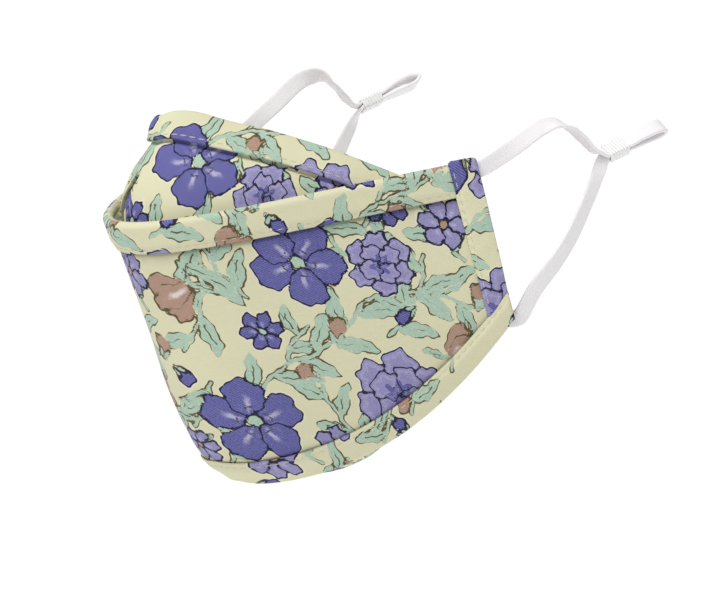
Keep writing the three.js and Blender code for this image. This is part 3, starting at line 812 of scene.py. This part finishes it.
def cottonPattern(tree, c):
    cloth = attribute(tree, "cloth")["Vector"]
    side = addNode(tree, "ShaderNodeSeparateXYZ", {0: cloth})[2]
    weave = useGroup(tree, sateenWeave, Cloth=cloth)
    blot, grain = noise(tree, cloth, 0.55, 5.0, 0.62), noise(tree, cloth, 2.6, 3.0, 0.7)
    main, fine = attribute(tree, "inkMain"), attribute(tree, "inkLine")
    bulk = addNode(tree, "ShaderNodeSeparateColor", {0: main["Color"]})
    line = addNode(tree, "ShaderNodeSeparateColor", {0: fine["Color"]})
    distances = {"violet": bulk[0], "lilac": bulk[1], "rose": bulk[2], "mint": main["Alpha"]}

    def masked(distance, width, ragged):
        return useGroup(tree, inkMask, Distance=distance, Width=width, Ragged=ragged, Cloth=cloth)[0]
    through = calc(tree, "MULTIPLY_ADD", side, 1 - c["faded"], c["faded"])
    broken = calc(tree, "MULTIPLY_ADD", grain, 1.3, calc(tree, "SUBTRACT", line[2], 0.95))
    streak = ramp(tree, broken, c["streak"])
    speck = ramp(tree, grain, c["speck"], (0.0, c["speckMost"]))
    ground = tones["ground"]
    colour = blend(tree, product(tree, blot, c["blot"]), ground, scaled(ground, c["blotShade"]))
    nearest = calc(tree, "MINIMUM", bulk[0], bulk[1])
    halo = ramp(tree, nearest, c["halo"], (c["haloMost"], 0.0), "SMOOTHSTEP")
    colour = blend(tree, product(tree, halo, through), colour, c["haloTone"])
    for ink, (dark, pale, glow) in inkBodies.items():
        body = blend(tree, blot, scaled(tones[ink], dark), scaled(tones[ink], pale))
        body = blend(tree, speck, body, tuple(min(v * 1.6 + 0.04, 0.9) for v in tones[ink]))
        if glow:
            body = blend(tree, product(tree, streak, c["streakMost"]), body, glow)
        mask = masked(distances[ink], c["width"], c["ragged"])
        colour = blend(tree, product(tree, mask, through), colour, body)
    cold = ramp(tree, nearest, c["cold"])   # olive lines round leaves, navy ones round flowers
    pen = ramp(tree, noise(tree, cloth, 0.17, 1.0), c["pen"])   # where the pen was lifted off an olive line
    lifted = product(tree, cold, calc(tree, "SUBTRACT", 1.0, pen))
    width = calc(tree, "MULTIPLY_ADD", lifted, c["lineLoss"], c["lineWidth"])
    outline = masked(calc(tree, "ABSOLUTE", line[0]), width, c["ragged"])
    outline = product(tree, outline, ramp(tree, line[1], c["close"], (1.0, 0.0)), through)
    colour = blend(tree, outline, colour, blend(tree, cold, tones["navy"], tones["olive"]))
    seeds = masked(fine["Alpha"], c["seed"], c["seedRagged"])
    colour = blend(tree, product(tree, seeds, through), colour, tones["spot"])
    # painted glint: the colour pales towards a thread tone where the weave's floats stand high, with random
    # flecks
    thread = ramp(tree, weave[1], c["thread"], (0.0, c["threadMost"]))
    thread = product(tree, thread, calc(tree, "MULTIPLY_ADD", outline, c["threadLoss"], 1.0))
    colour = blend(tree, thread, colour, c["threadTone"])
    return colour, ramp(tree, weave[1], (0.0, 1.0), c["rough"]), weave[0]


elastic = {"rib": 0.55, "knit": 0.42, "bend": 1.2, "fuzz": 1.8, "rough": 0.72, "bump": (0.3, 0.0001),
           "tones": ((0.85, 0.825, 0.845), (0.93, 0.905, 0.92)), "surface": {"Sheen Weight": 0.15}}
silicone = {"haze": 900.0, "tones": ((0.80, 0.80, 0.785), (0.88, 0.88, 0.87)), "rough": (0.3, 0.44),
            "bump": (0.1, 0.0001), "surface": {"Subsurface Weight": 0.25, "Subsurface Scale": 0.001,
                                               "Subsurface Radius": (0.6, 0.6, 0.6)}}
sewn = {"twist": 900.0, "tones": ((0.50, 0.485, 0.36), (0.64, 0.62, 0.49)), "rough": 0.6,
        "bump": (0.3, 0.00008), "surface": {}}


def elasticPattern(tree, e):
    # flat knitted elastic: fine ribs along it, crossed by the knit's short stitches
    cloth = attribute(tree, "cloth")["Vector"]
    way, over = addNode(tree, "ShaderNodeSeparateXYZ", {0: cloth})[:2]
    rib = calc(tree, "SINE", product(tree, over, math.tau / e["rib"]))
    knit = calc(tree, "MULTIPLY_ADD", way, math.tau / e["knit"], product(tree, rib, e["bend"]))
    height = calc(tree, "MULTIPLY_ADD", calc(tree, "SINE", knit), 0.35, product(tree, rib, 0.65))
    tone = calc(tree, "MULTIPLY_ADD", height, 0.25, noise(tree, cloth, e["fuzz"], 3.0))
    return blend(tree, tone, *e["tones"]), e["rough"], height


def siliconePattern(tree, s):
    haze = noise(tree, addNode(tree, "ShaderNodeTexCoord")["Object"], s["haze"], 3.0)
    return blend(tree, haze, *s["tones"]), ramp(tree, haze, (0.0, 1.0), s["rough"]), haze


def threadPattern(tree, t):
    place = addNode(tree, "ShaderNodeTexCoord")["Object"]
    twist = addNode(tree, "ShaderNodeTexWave", {"Vector": place, "Scale": t["twist"], "Distortion": 1.0},
                    wave_type="BANDS", bands_direction="DIAGONAL")["Fac"]
    return blend(tree, twist, *t["tones"]), t["rough"], twist


printedCotton = dressed("printedCotton", cottonPattern, cotton)
whiteElastic = dressed("whiteElastic", elasticPattern, elastic)
whiteSilicone = dressed("whiteSilicone", siliconePattern, silicone)
sewingThread = dressed("sewingThread", threadPattern, sewn)
print("materials made")

# pitch, seed and height of the slow waves in each cloth
slowWaves = {"front": ((38, 3, 0.35), (13, 8, 0.1)), "nose": ((26, 5, 0.4), (10, 6, 0.12)),
             "upper": ((30, 21, 0.16), (7, 22, 0.06)), "lower": ((30, 31, 0.16), (7, 32, 0.06))}
gather = {"width": 5, "height": 0.22, "pitch": 0.9, "drift": 1.3, "driftPitch": 0.21, "press": 0.25}
bandForm = {"edge": 0.62, "edgeWidth": 3.2, "groove": 0.16, "groovePlace": -1.4, "grooveWidth": 0.45,
            "outer": 0.9}


def swayed(x, down, kind):
    return sum(ripple(x, down, pitch, seed) * height for pitch, seed, height in slowWaves[kind])


def underEdge(down, deep):
    # the cloth dips where a band's sewn edge presses on it
    return -panels["dip"] * hump(down - deep, panels["dipWidth"], panels["dipPlace"])


def swayFront(x, down, off):
    # the band's seam gathers the cloth in small puckers
    g, nearBand = gather, hump(down, gather["width"], bands["upper"])
    soft = swayed(x, down, "front") + underEdge(down, bands["upper"])
    puckers = np.sin(x * g["pitch"] + g["drift"] * np.sin(x * g["driftPitch"]))
    return soft + nearBand * g["height"] * puckers - g["press"] * nearBand


def swayNose(x, down, off):
    return swayed(x, down, "nose")


def swayTucked(x, down, off):
    # the layers are pressed thin inside the tuck
    fold = softStep(noseTuck(x, 1 - down / noseLength(x / form["halfArc"])) * 6)
    return (swayNose(x, down, off) + underEdge(down, bands["hem"])) * (1 - fold) - off * panels["pressed"] * fold


def swayBand(kind):
    # thin at its sewn edge, with a shallow groove under the stitches
    b = bandForm

    def sway(x, down, off):
        deep = down - bands[kind]
        thin = b["edge"] * softStep((deep + b["edgeWidth"]) / b["edgeWidth"])
        thin = thin + b["groove"] * hump(deep, b["grooveWidth"], b["groovePlace"])
        return swayed(x, down, kind) - np.where(off > b["outer"], thin, 0)
    return sway


def addCloth(name, slotName, node, *sheet):
    addPiece(name, laySheet(name, *sheet), printedCotton, slotName, node)


tuckShares = np.arange(-14, 3, panels["tuckStep"]) / form["halfArc"]   # closer columns where the tuck is
turning = panels["turning"]
addCloth("front_cloth", "printed_cotton", "front_panel", frontFace, fallLength,
         flatSection(turning, turning, -form["wall"], panels["frontRows"], panels["backRows"]),
         evenShares(clothEnd), (0, 0), swayFront)
addCloth("nose_cloth", "printed_cotton", "nose_panel", noseDown, noseLength,
         flatSection(turning, 0.0, -noseForm["wall"], panels["noseRows"], panels["noseRows"]),
         np.union1d(evenShares(panelEnd), tuckShares), (31, 163), swayTucked)
addCloth("chin_cloth", "printed_cotton", "chin_panel", chinDown, chinLength,
         flatSection(0.0, 0.0, -chinForm["wall"], panels["chinRows"], panels["chinBackRows"]),
         evenShares(panelEnd, panels["chinStep"]), (12, 60), swayNose)
print("panels laid")

bandSection = {name: hemSection(bands[name]) for name in bands}
addCloth("upper_band_cloth", "cotton_edging", "upper_band", frontFace, zeroLength, bandSection["upper"],
         evenShares(clothEnd), (55, 210), swayBand("upper"))
addCloth("lower_band_cloth", "cotton_edging", "lower_band", lowerFace, zeroLength, bandSection["lower"],
         evenShares(1.0), (20, 250), swayBand("lower"), -1)
addCloth("nose_hem_cloth", "cotton_edging", "nose_hem", noseDown, zeroLength,
         hemSection(bands["hem"], -1.4, 1.1), evenShares(panelEnd), (5, 290), swayNose)
print("bands laid")

# stitches: short threads that dip into the cloth at both ends
sewing = {"pitch": 2.7, "length": 2.0, "thread": 0.15, "flat": 0.9, "sink": 0.02, "lean": 0.06,
          "sides": 7, "rings": 5, "steps": 900}


def stitchAlong(name, path, normals):
    # path and normals follow the seam closely; the stitches are laid out along its length
    step = np.linalg.norm(np.diff(path, axis=0), axis=1)
    length = np.concatenate([[0], np.cumsum(step)])
    bm = bmesh.new()

    def pick(values, place):
        return np.array([np.interp(place, length, values[:, i]) for i in range(3)])
    for k in range(int(length[-1] / sewing["pitch"])):
        middle = (k + 0.5) * sewing["pitch"]
        before, spot, after = (pick(path, middle + d) for d in (-1, 0, 1))
        along = (after - before) / np.linalg.norm(after - before)
        side = np.cross(pick(normals, middle), along)
        side /= np.linalg.norm(side)
        over = np.cross(along, side)
        lean = along * 0.99 + side * sewing["lean"]
        turn = Matrix((lean * sewing["length"] / 2, side * sewing["thread"],
                       over * sewing["thread"] * sewing["flat"])).transposed()
        place = Matrix.Translation(Vector(spot + over * sewing["sink"]) * mm) @ (turn * mm).to_4x4()
        bmesh.ops.create_uvsphere(bm, u_segments=sewing["sides"], v_segments=sewing["rings"], radius=1.0,
                                  matrix=place @ Matrix.Rotation(math.pi / 2, 4, "Y"))
    mesh = bpy.data.meshes.new(name)
    smoothInto(bm, mesh)
    addPiece(name, mesh, sewingThread, "cotton_edging")


def seam(face, down, end, sway, flip=1):
    shares = np.linspace(-end, end, sewing["steps"])
    downs = np.full_like(shares, down)
    normal = normalOf(face, shares, downs) * flip
    lift = proudBand + sway(shares * form["halfArc"], downs, np.full_like(shares, proudBand))
    return face(shares, downs) + normal * lift[..., None], normal


stitchAlong("stitches_upper_band", *seam(frontFace, bands["upper"] - 1.5, panelEnd, swayBand("upper")))
stitchAlong("stitches_lower_band", *seam(lowerFace, bands["lower"] - 1.4, 0.99, swayBand("lower"), -1))
stitchAlong("stitches_nose_hem", *seam(noseDown, bands["hem"] - 1.4, panelEnd, swayNose))
print("stitches sewn")

# side sleeves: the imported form, rounded as sewn cloth
sleeveCloth = {"voxel": 0.00036, "smooth": 7, "smoothing": 0.5, "tuck": 2.2, "tuckIn": 0.5, "footLift": 0.35,
               "footLine": 1.2, "corners": (2.3, 1.3), "cornerReach": 9,
               "puff": 0.4, "sway": 0.22, "swayPitch": 13,
               "seam": 1.2, "seamWidth": 0.8, "groove": 0.28, "pucker": 0.1, "crown": 1.5, "crownReach": 5.0,
               "chart": (40, 95, 30), "stitched": (0.03, 0.8)}


def tuckFoot(v):
    # a vertex of the slanted foot goes under the lower band
    flip = (1 if v.co.x > 0 else -1, 1, 1)
    shares = np.linspace(0.9, 1.0, 41)
    places = lowerFace(shares, bands["lower"])
    spot = np.array(v.co) / mm * flip
    share = shares[np.argmin(np.hypot(places[:, 0] - spot[0], places[:, 1] - spot[1]))]
    base = lowerFace(share, bands["lower"] + sleeveCloth["footLift"])
    if spot[2] <= base[2] + sleeveCloth["footLine"]:
        under = lowerFace(share, bands["lower"] - sleeveCloth["tuck"])
        moved = spot + under - base - outward(np.array(share)) * sleeveCloth["tuckIn"]
        v.co = Vector(moved * flip) * mm


def remeshed(node, name):
    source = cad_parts[node].data.copy()
    bm = bmesh.new()
    bm.from_mesh(source)
    bmesh.ops.remove_doubles(bm, verts=bm.verts, dist=1e-6)
    for v in bm.verts:
        tuckFoot(v)
    bm.to_mesh(source)
    bm.free()
    rough = bpy.data.objects.new(name + "Rough", source)
    bpy.context.collection.objects.link(rough)
    remesh = rough.modifiers.new("remesh", "REMESH")
    remesh.mode, remesh.voxel_size = "VOXEL", sleeveCloth["voxel"]
    smooth = rough.modifiers.new("smooth", "SMOOTH")
    smooth.iterations, smooth.factor = sleeveCloth["smooth"], sleeveCloth["smoothing"]
    mesh = bpy.data.meshes.new_from_object(rough.evaluated_get(bpy.context.evaluated_depsgraph_get()))
    bpy.data.objects.remove(rough)
    mesh.name = name
    mesh.polygons.foreach_set("use_smooth", [True] * len(mesh.polygons))
    return mesh


def roundSleeve(mesh, sense):
    s, turn = sleeveCloth, math.radians(form["sideAngle"])
    spots = verticesOf(mesh) / mm
    forward = np.array([math.cos(turn) * sense, math.sin(turn), 0])
    out = np.array([math.sin(turn) * sense, -math.cos(turn), 0])
    across, over = spots @ forward, spots @ out
    outside = (over > np.median(over)).astype(float)
    place = spots.astype(float)
    below = spots[:, 2].max() - spots[:, 2]
    for gap, radius in zip((across.max() - across, across - across.min()), s["corners"]):
        inside = (radius - gap).clip(0, radius)   # rounds the sleeve's two top corners
        drop = radius - np.sqrt(radius**2 - inside**2)
        place[:, 2] -= drop * softStep(1 - below / s["cornerReach"])
    crown = softStep(1 - below / s["crownReach"])
    place[:, 2] += s["crown"] * crown * outside   # the outer wall stands over the inner one
    way = across - across.min()
    pucker = hump(way, s["seamWidth"], s["seam"])
    swell = s["puff"] * np.sin(math.pi * (way / sleeve["width"]).clip(0, 1)) - s["groove"] * pucker
    swell += s["pucker"] * pucker * np.sin(spots[:, 2] * math.tau / sewing["pitch"])
    swell = swell * outside + s["sway"] * ripple(across, spots[:, 2], s["swayPitch"], 41)
    moveVertices(mesh, place + swell[:, None] * out)
    x, y, apart = s["chart"]
    cloth = np.stack([across * sense + x, spots[:, 2] + y + apart * sense, outside], axis=-1)
    setLayers(mesh, printLayers(cloth))


def sewSleeve(mesh, sense):
    # stitches down the sleeve's front edge, laid on its outer wall
    tree = BVHTree.FromPolygons([v.co / mm for v in mesh.vertices], [p.vertices for p in mesh.polygons])
    share = np.array(1 - (sleeve["width"] - sleeveCloth["seam"]) / form["halfArc"])
    out = outward(share) * (sense, 1, 1)
    found = []
    for fall in np.linspace(*sleeveCloth["stitched"], 90):
        spot = frontFace(share, fall * fallLength(share)) * (sense, 1, 1)
        hit, normal = tree.ray_cast(Vector(spot + out * 6), Vector(-out))[:2]
        if hit:
            found.append((hit, normal))
    return np.array(found).transpose(1, 0, 2)


for side, sense in (("left", 1), ("right", -1)):
    mesh = remeshed("side_casing_" + side, "sleeve_" + side)
    roundSleeve(mesh, sense)
    addPiece("sleeve_cloth_" + side, mesh, printedCotton, "cotton_edging", "side_casing_" + side)
    stitchAlong("stitches_sleeve_" + side, *sewSleeve(mesh, sense))
print("sleeves rounded")

# straps and locks
strapForm = {"width": 5.0, "thick": 1.0, "corner": 0.42, "reach": 64.0, "turnRadius": 3.4, "farLift": 3.8,
             "liftReach": 0.35, "between": 14}
lockForm = {"length": 6.9, "wall": 0.5, "ribs": 7, "ribDepth": 0.2, "ribSteps": 12, "ribSharp": 0.7,
            "endTuck": 0.35, "endReach": 0.4, "squeeze": 0.84, "corner": 0.8, "holeCorner": 0.3, "play": 0.08}
# back, up, lean, turn, apart and width of each place along the loop
stations = np.array([
    (0.203, 0.491, -8, 24, 0, 1), (0.364, 0.545, 4, 38, 0, 1), (0.45, 0.54, 65, 53, 0, 1),
    (0.512, 0.478, 146, 59, 0, 1), (0.559, 0.395, 164, 62, 0, 0.98), (0.606, 0.292, 145, 62, 0.3, 0.9),
    (0.655, 0.252, -4, 60, 1, 0.84), (0.712, 0.258, -4, 60, 1, 0.84), (0.769, 0.264, -4, 60, 1, 0.84),
    (0.87, 0.282, -4, 54, 1.8, 0.95), (0.955, 0.288, -2, 52, 1.6, 1), (0.982, 0.289, 0, 52, 0, 1),
    (0.955, 0.288, -2, 52, -1.6, 1), (0.87, 0.282, -4, 54, -1.8, 0.95), (0.769, 0.264, -4, 60, -1, 0.84),
    (0.712, 0.258, -4, 60, -1, 0.84), (0.655, 0.252, -4, 60, -1, 0.76), (0.573, 0.126, -38, 4, 0, 0.8),
    (0.488, 0.002, -46, -10, 0, 0.92), (0.388, -0.132, -48, -10, 0, 1), (0.273, -0.253, -42, -6, 0, 1),
    (0.122, -0.381, -25, 0, 0, 1)])
farRows = {0: (0.203, 0.491, -10, -26, 0, 1), 1: (0.364, 0.545, 6, -18, 0, 1), 2: (0.45, 0.54, 45, 18, 0, 1)}
sleeveTurns = (0, 30, 60, 85)   # degrees of the way round a sleeve's end
strapShare = 1 - sleeve["width"] / 2 / form["halfArc"]
strapOff = sleeve["proud"] - sleeve["wall"] - sleeve["strapPlay"] - strapForm["thick"] / 2
stackGap = (strapForm["thick"] + form["gap"]) / 2


def faceAt(share, fall, off):
    s = np.array(float(share))
    return frontFace(s, fall * fallLength(s)) + outward(s) * off


sleeveTop, sleeveFoot = faceAt(strapShare, 0, strapOff), faceAt(strapShare, 1, strapOff)
sleeveBack = faceAt(1, 0, 0) - faceAt(1 - sleeve["width"] / form["halfArc"], 0, 0)
sleeveBack[2] = 0
sleeveBack /= np.linalg.norm(sleeveBack)
strapStraight = sleeve["width"] / 2 + 2 * form["gap"]
strapEdge = strapForm["width"] / 2 + form["gap"]


def strapPoint(behind, z):
    fall = np.clip((sleeveTop[2] - z) / (sleeveTop[2] - sleeveFoot[2]), 0, 1)
    point = faceAt(strapShare, fall, strapOff)
    point[2] = z
    point = point + sleeveBack * min(behind, strapStraight)
    point[1] += max(behind - strapStraight, 0)
    return point


def placeStation(row, lift):
    behind, rise, lean, turn, apart, wide = row
    lean, turn = math.radians(lean), math.radians(turn)
    width = np.array([-math.sin(turn), math.cos(turn) * math.sin(lean), math.cos(turn) * math.cos(lean)])
    k = softStep(behind / strapForm["liftReach"])
    point = strapPoint(sleeve["width"] / 2 + behind * strapForm["reach"], rise * form["sideFall"] + lift * k)
    point = point + apart * stackGap * np.array([math.cos(turn), 0, math.sin(turn)])
    return point, width, wide


def sleeveTurn(end, side, angle):
    a = math.radians(angle)
    z = end[2] - side * (strapEdge + strapForm["turnRadius"] * (1 - math.sin(a)))
    width = -math.cos(a) * sleeveBack + np.array([0, 0, side * math.sin(a)])
    return strapPoint(strapForm["turnRadius"] * (1 - math.cos(a)), z), width, 1.0


def behindSleeve(end, side):
    return strapPoint(strapStraight, end[2] - side * strapEdge), np.array([0, 0, float(side)]), 1.0


def strapPlaces(lift):
    places = []
    for k in (0.22, 0.36, 0.5, 0.64, 0.78):
        z = sleeveFoot[2] + (sleeveTop[2] - sleeveFoot[2]) * k
        places.append((strapPoint(0, z), -sleeveBack, 1.0))
    places += [sleeveTurn(sleeveTop, 1, a) for a in sleeveTurns] + [behindSleeve(sleeveTop, 1)]
    places += [placeStation(farRows.get(i, row) if lift else row, lift) for i, row in enumerate(stations)]
    foot = [behindSleeve(sleeveFoot, -1)] + [sleeveTurn(sleeveFoot, -1, a) for a in sleeveTurns[::-1]]
    return places + [(point, -width, wide) for point, width, wide in foot]   # the loop has half a turn in it


def closedCurve(points, between):
    # centripetal curve through the places, closed on itself
    p = np.array(points)
    out = []
    for i in range(len(p)):
        a, b, c, d = p[i - 1], p[i], p[(i + 1) % len(p)], p[(i + 2) % len(p)]
        ab, bc, cd = (max(np.sum((q - r) ** 2) ** 0.25, 1e-4) for q, r in ((b, a), (c, b), (d, c)))
        m = ((b - a) / ab - (c - a) / (ab + bc) + (c - b) / bc) * bc
        n = ((c - b) / bc - (d - b) / (bc + cd) + (d - c) / cd) * bc
        for k in np.arange(between) / between:
            out.append(b + m * k + (3 * (c - b) - 2 * m - n) * k**2 + (2 * (b - c) + m + n) * k**3)
    return np.array(out)


def squared(along, width):
    across = width - along * np.sum(along * width, axis=-1, keepdims=True)
    across /= np.linalg.norm(across, axis=-1, keepdims=True)
    return across, np.cross(along, across)


def ovalRing(wide, thick, radius, perCorner):
    # a rounded strip's outline: (across, over) and the way round it
    ring = []
    for corner, (sx, sy) in enumerate(((1, 1), (-1, 1), (-1, -1), (1, -1))):
        for k in range(perCorner):
            a = math.radians(90 * corner + 90 * k / (perCorner - 1))
            ring.append((sx * (wide / 2 - radius) + radius * math.cos(a),
                         sy * (thick / 2 - radius) + radius * math.sin(a)))
    return np.array(ring + ring[:1])


def closedMesh(name, place, cloth, mirror):
    return ringMesh(name, place * np.array([-1 if mirror else 1, 1, 1]), {"cloth": cloth})


def loftStrap(name, lift, mirror):
    places = strapPlaces(lift)
    n, between = len(places), strapForm["between"]
    path = closedCurve([p[0] for p in places], between)
    along = np.roll(path, -1, axis=0) - np.roll(path, 1, axis=0)
    along /= np.linalg.norm(along, axis=-1, keepdims=True)
    k = np.arange(n * between) / between
    i, part = np.floor(k).astype(int), k % 1
    widths, wides = (np.array([p[j] for p in places]) for j in (1, 2))
    following = np.roll(widths, -1, axis=0)
    following[-1] *= -1
    width = widths[i] * (1 - part[:, None]) + following[i] * part[:, None]
    wide = wides[i] * (1 - part) + wides[(i + 1) % n] * part
    across, over = squared(along, width)
    ring = ovalRing(strapForm["width"], strapForm["thick"], strapForm["corner"], 4)
    flat = np.linspace(-0.5, 0.5, 7)[1:-1] * (strapForm["width"] - 1.2)
    top = [(-v, strapForm["thick"] / 2) for v in flat]
    ring = np.vstack([ring[:4], top, ring[4:12], [(-a, -b) for a, b in top], ring[12:]])
    place = (path[:, None] + across[:, None] * (ring[None, :, :1] * wide[:, None, None])
             + over[:, None] * ring[None, :, 1:])
    length = np.cumsum(np.linalg.norm(np.diff(path, axis=0, append=path[:1]), axis=1))
    half = (len(ring) - 1) // 2   # the strip closes on itself turned over, inside the sleeve
    place = np.concatenate([place, np.vstack([place[0, half:-1], place[0, :half + 1]])[None]])
    cloth = stack(np.append(0, length)[:, None], ring[None, :, 0], np.sign(ring[None, :, 1]))
    return closedMesh(name, place, cloth, mirror), length[-1]


def loftLock(name, lift, mirror):
    f = lockForm
    first, last = (placeStation(stations[i] * (1, 1, 1, 1, 0, 1), lift) for i in (6, 8))
    along = last[0] - first[0]
    along /= np.linalg.norm(along)
    start = (first[0] + last[0]) / 2 - along * f["length"] / 2
    across, over = squared(along, first[1])
    holeWide = strapForm["width"] * f["squeeze"] + 2 * f["play"]
    holeDeep = 2 * (stackGap + strapForm["thick"] / 2 + f["play"])
    rows = []
    for q in np.arange(f["ribs"] * f["ribSteps"] + 1) / (f["ribs"] * f["ribSteps"]):
        swell = abs(math.sin(math.pi * q * f["ribs"])) ** f["ribSharp"]
        tuck = f["endTuck"] * max(1 - min(q, 1 - q) * f["length"] / f["endReach"], 0) ** 2
        rows.append((q, 2 * f["wall"] + 2 * f["ribDepth"] * (swell - 1) - 2 * tuck, f["corner"]))
    rows += [(q, 0.0, f["holeCorner"]) for q in (1.0, 0.75, 0.5, 0.25, 0.0)] + [rows[0]]
    place = []
    for q, wall, corner in rows:
        ring = ovalRing(holeWide + wall, holeDeep + wall, corner, 7)
        place.append(start + along * f["length"] * q + ring[:, :1] * across + ring[:, 1:] * over)
    return closedMesh(name, np.array(place), np.zeros(np.shape(place)), mirror)


for side, lift, mirror in (("left", 0.0, False), ("right", strapForm["farLift"], True)):
    mesh, strapLength = loftStrap("strap_" + side, lift, mirror)
    addPiece("elastic_" + side, mesh, whiteElastic, "white_elastic", "ear_strap_" + side)
    addPiece("lock_" + side, loftLock("lockMesh_" + side, lift, mirror), whiteSilicone,
             "white_silicone", "strap_lock_" + side)
print("straps and locks made", round(strapLength, 1))


# each cloth as it was cut: its length at points across it
def declareCloth(name, length, extra, end, held, *stitches, taper=1.0):
    shares = np.linspace(-end, end, 81)
    lengths = (length(shares) + extra) * mm


def stripWidth(section):
    # half the way round a folded hem's cross-section
    rows = np.array(section)[:, 1:]
    return float(np.linalg.norm(np.diff(rows, axis=0), axis=1).sum() / 2)


declareCloth("front_cloth", fallLength, 2 * turning, clothEnd, "stretched")
declareCloth("nose_cloth", noseLength, turning, panelEnd, "folded")
declareCloth("chin_cloth", chinLength, 0.0, panelEnd, "folded", taper=0.72)   # cut narrower to its free edge
for name, stitched, deep, end in (("upper_band_cloth", "stitches_upper_band", "upper", clothEnd),
                                  ("lower_band_cloth", "stitches_lower_band", "lower", 1.0),
                                  ("nose_hem_cloth", "stitches_nose_hem", "hem", panelEnd)):
    declareCloth(name, zeroLength, stripWidth(bandSection[deep]), end, "folded", stitched)
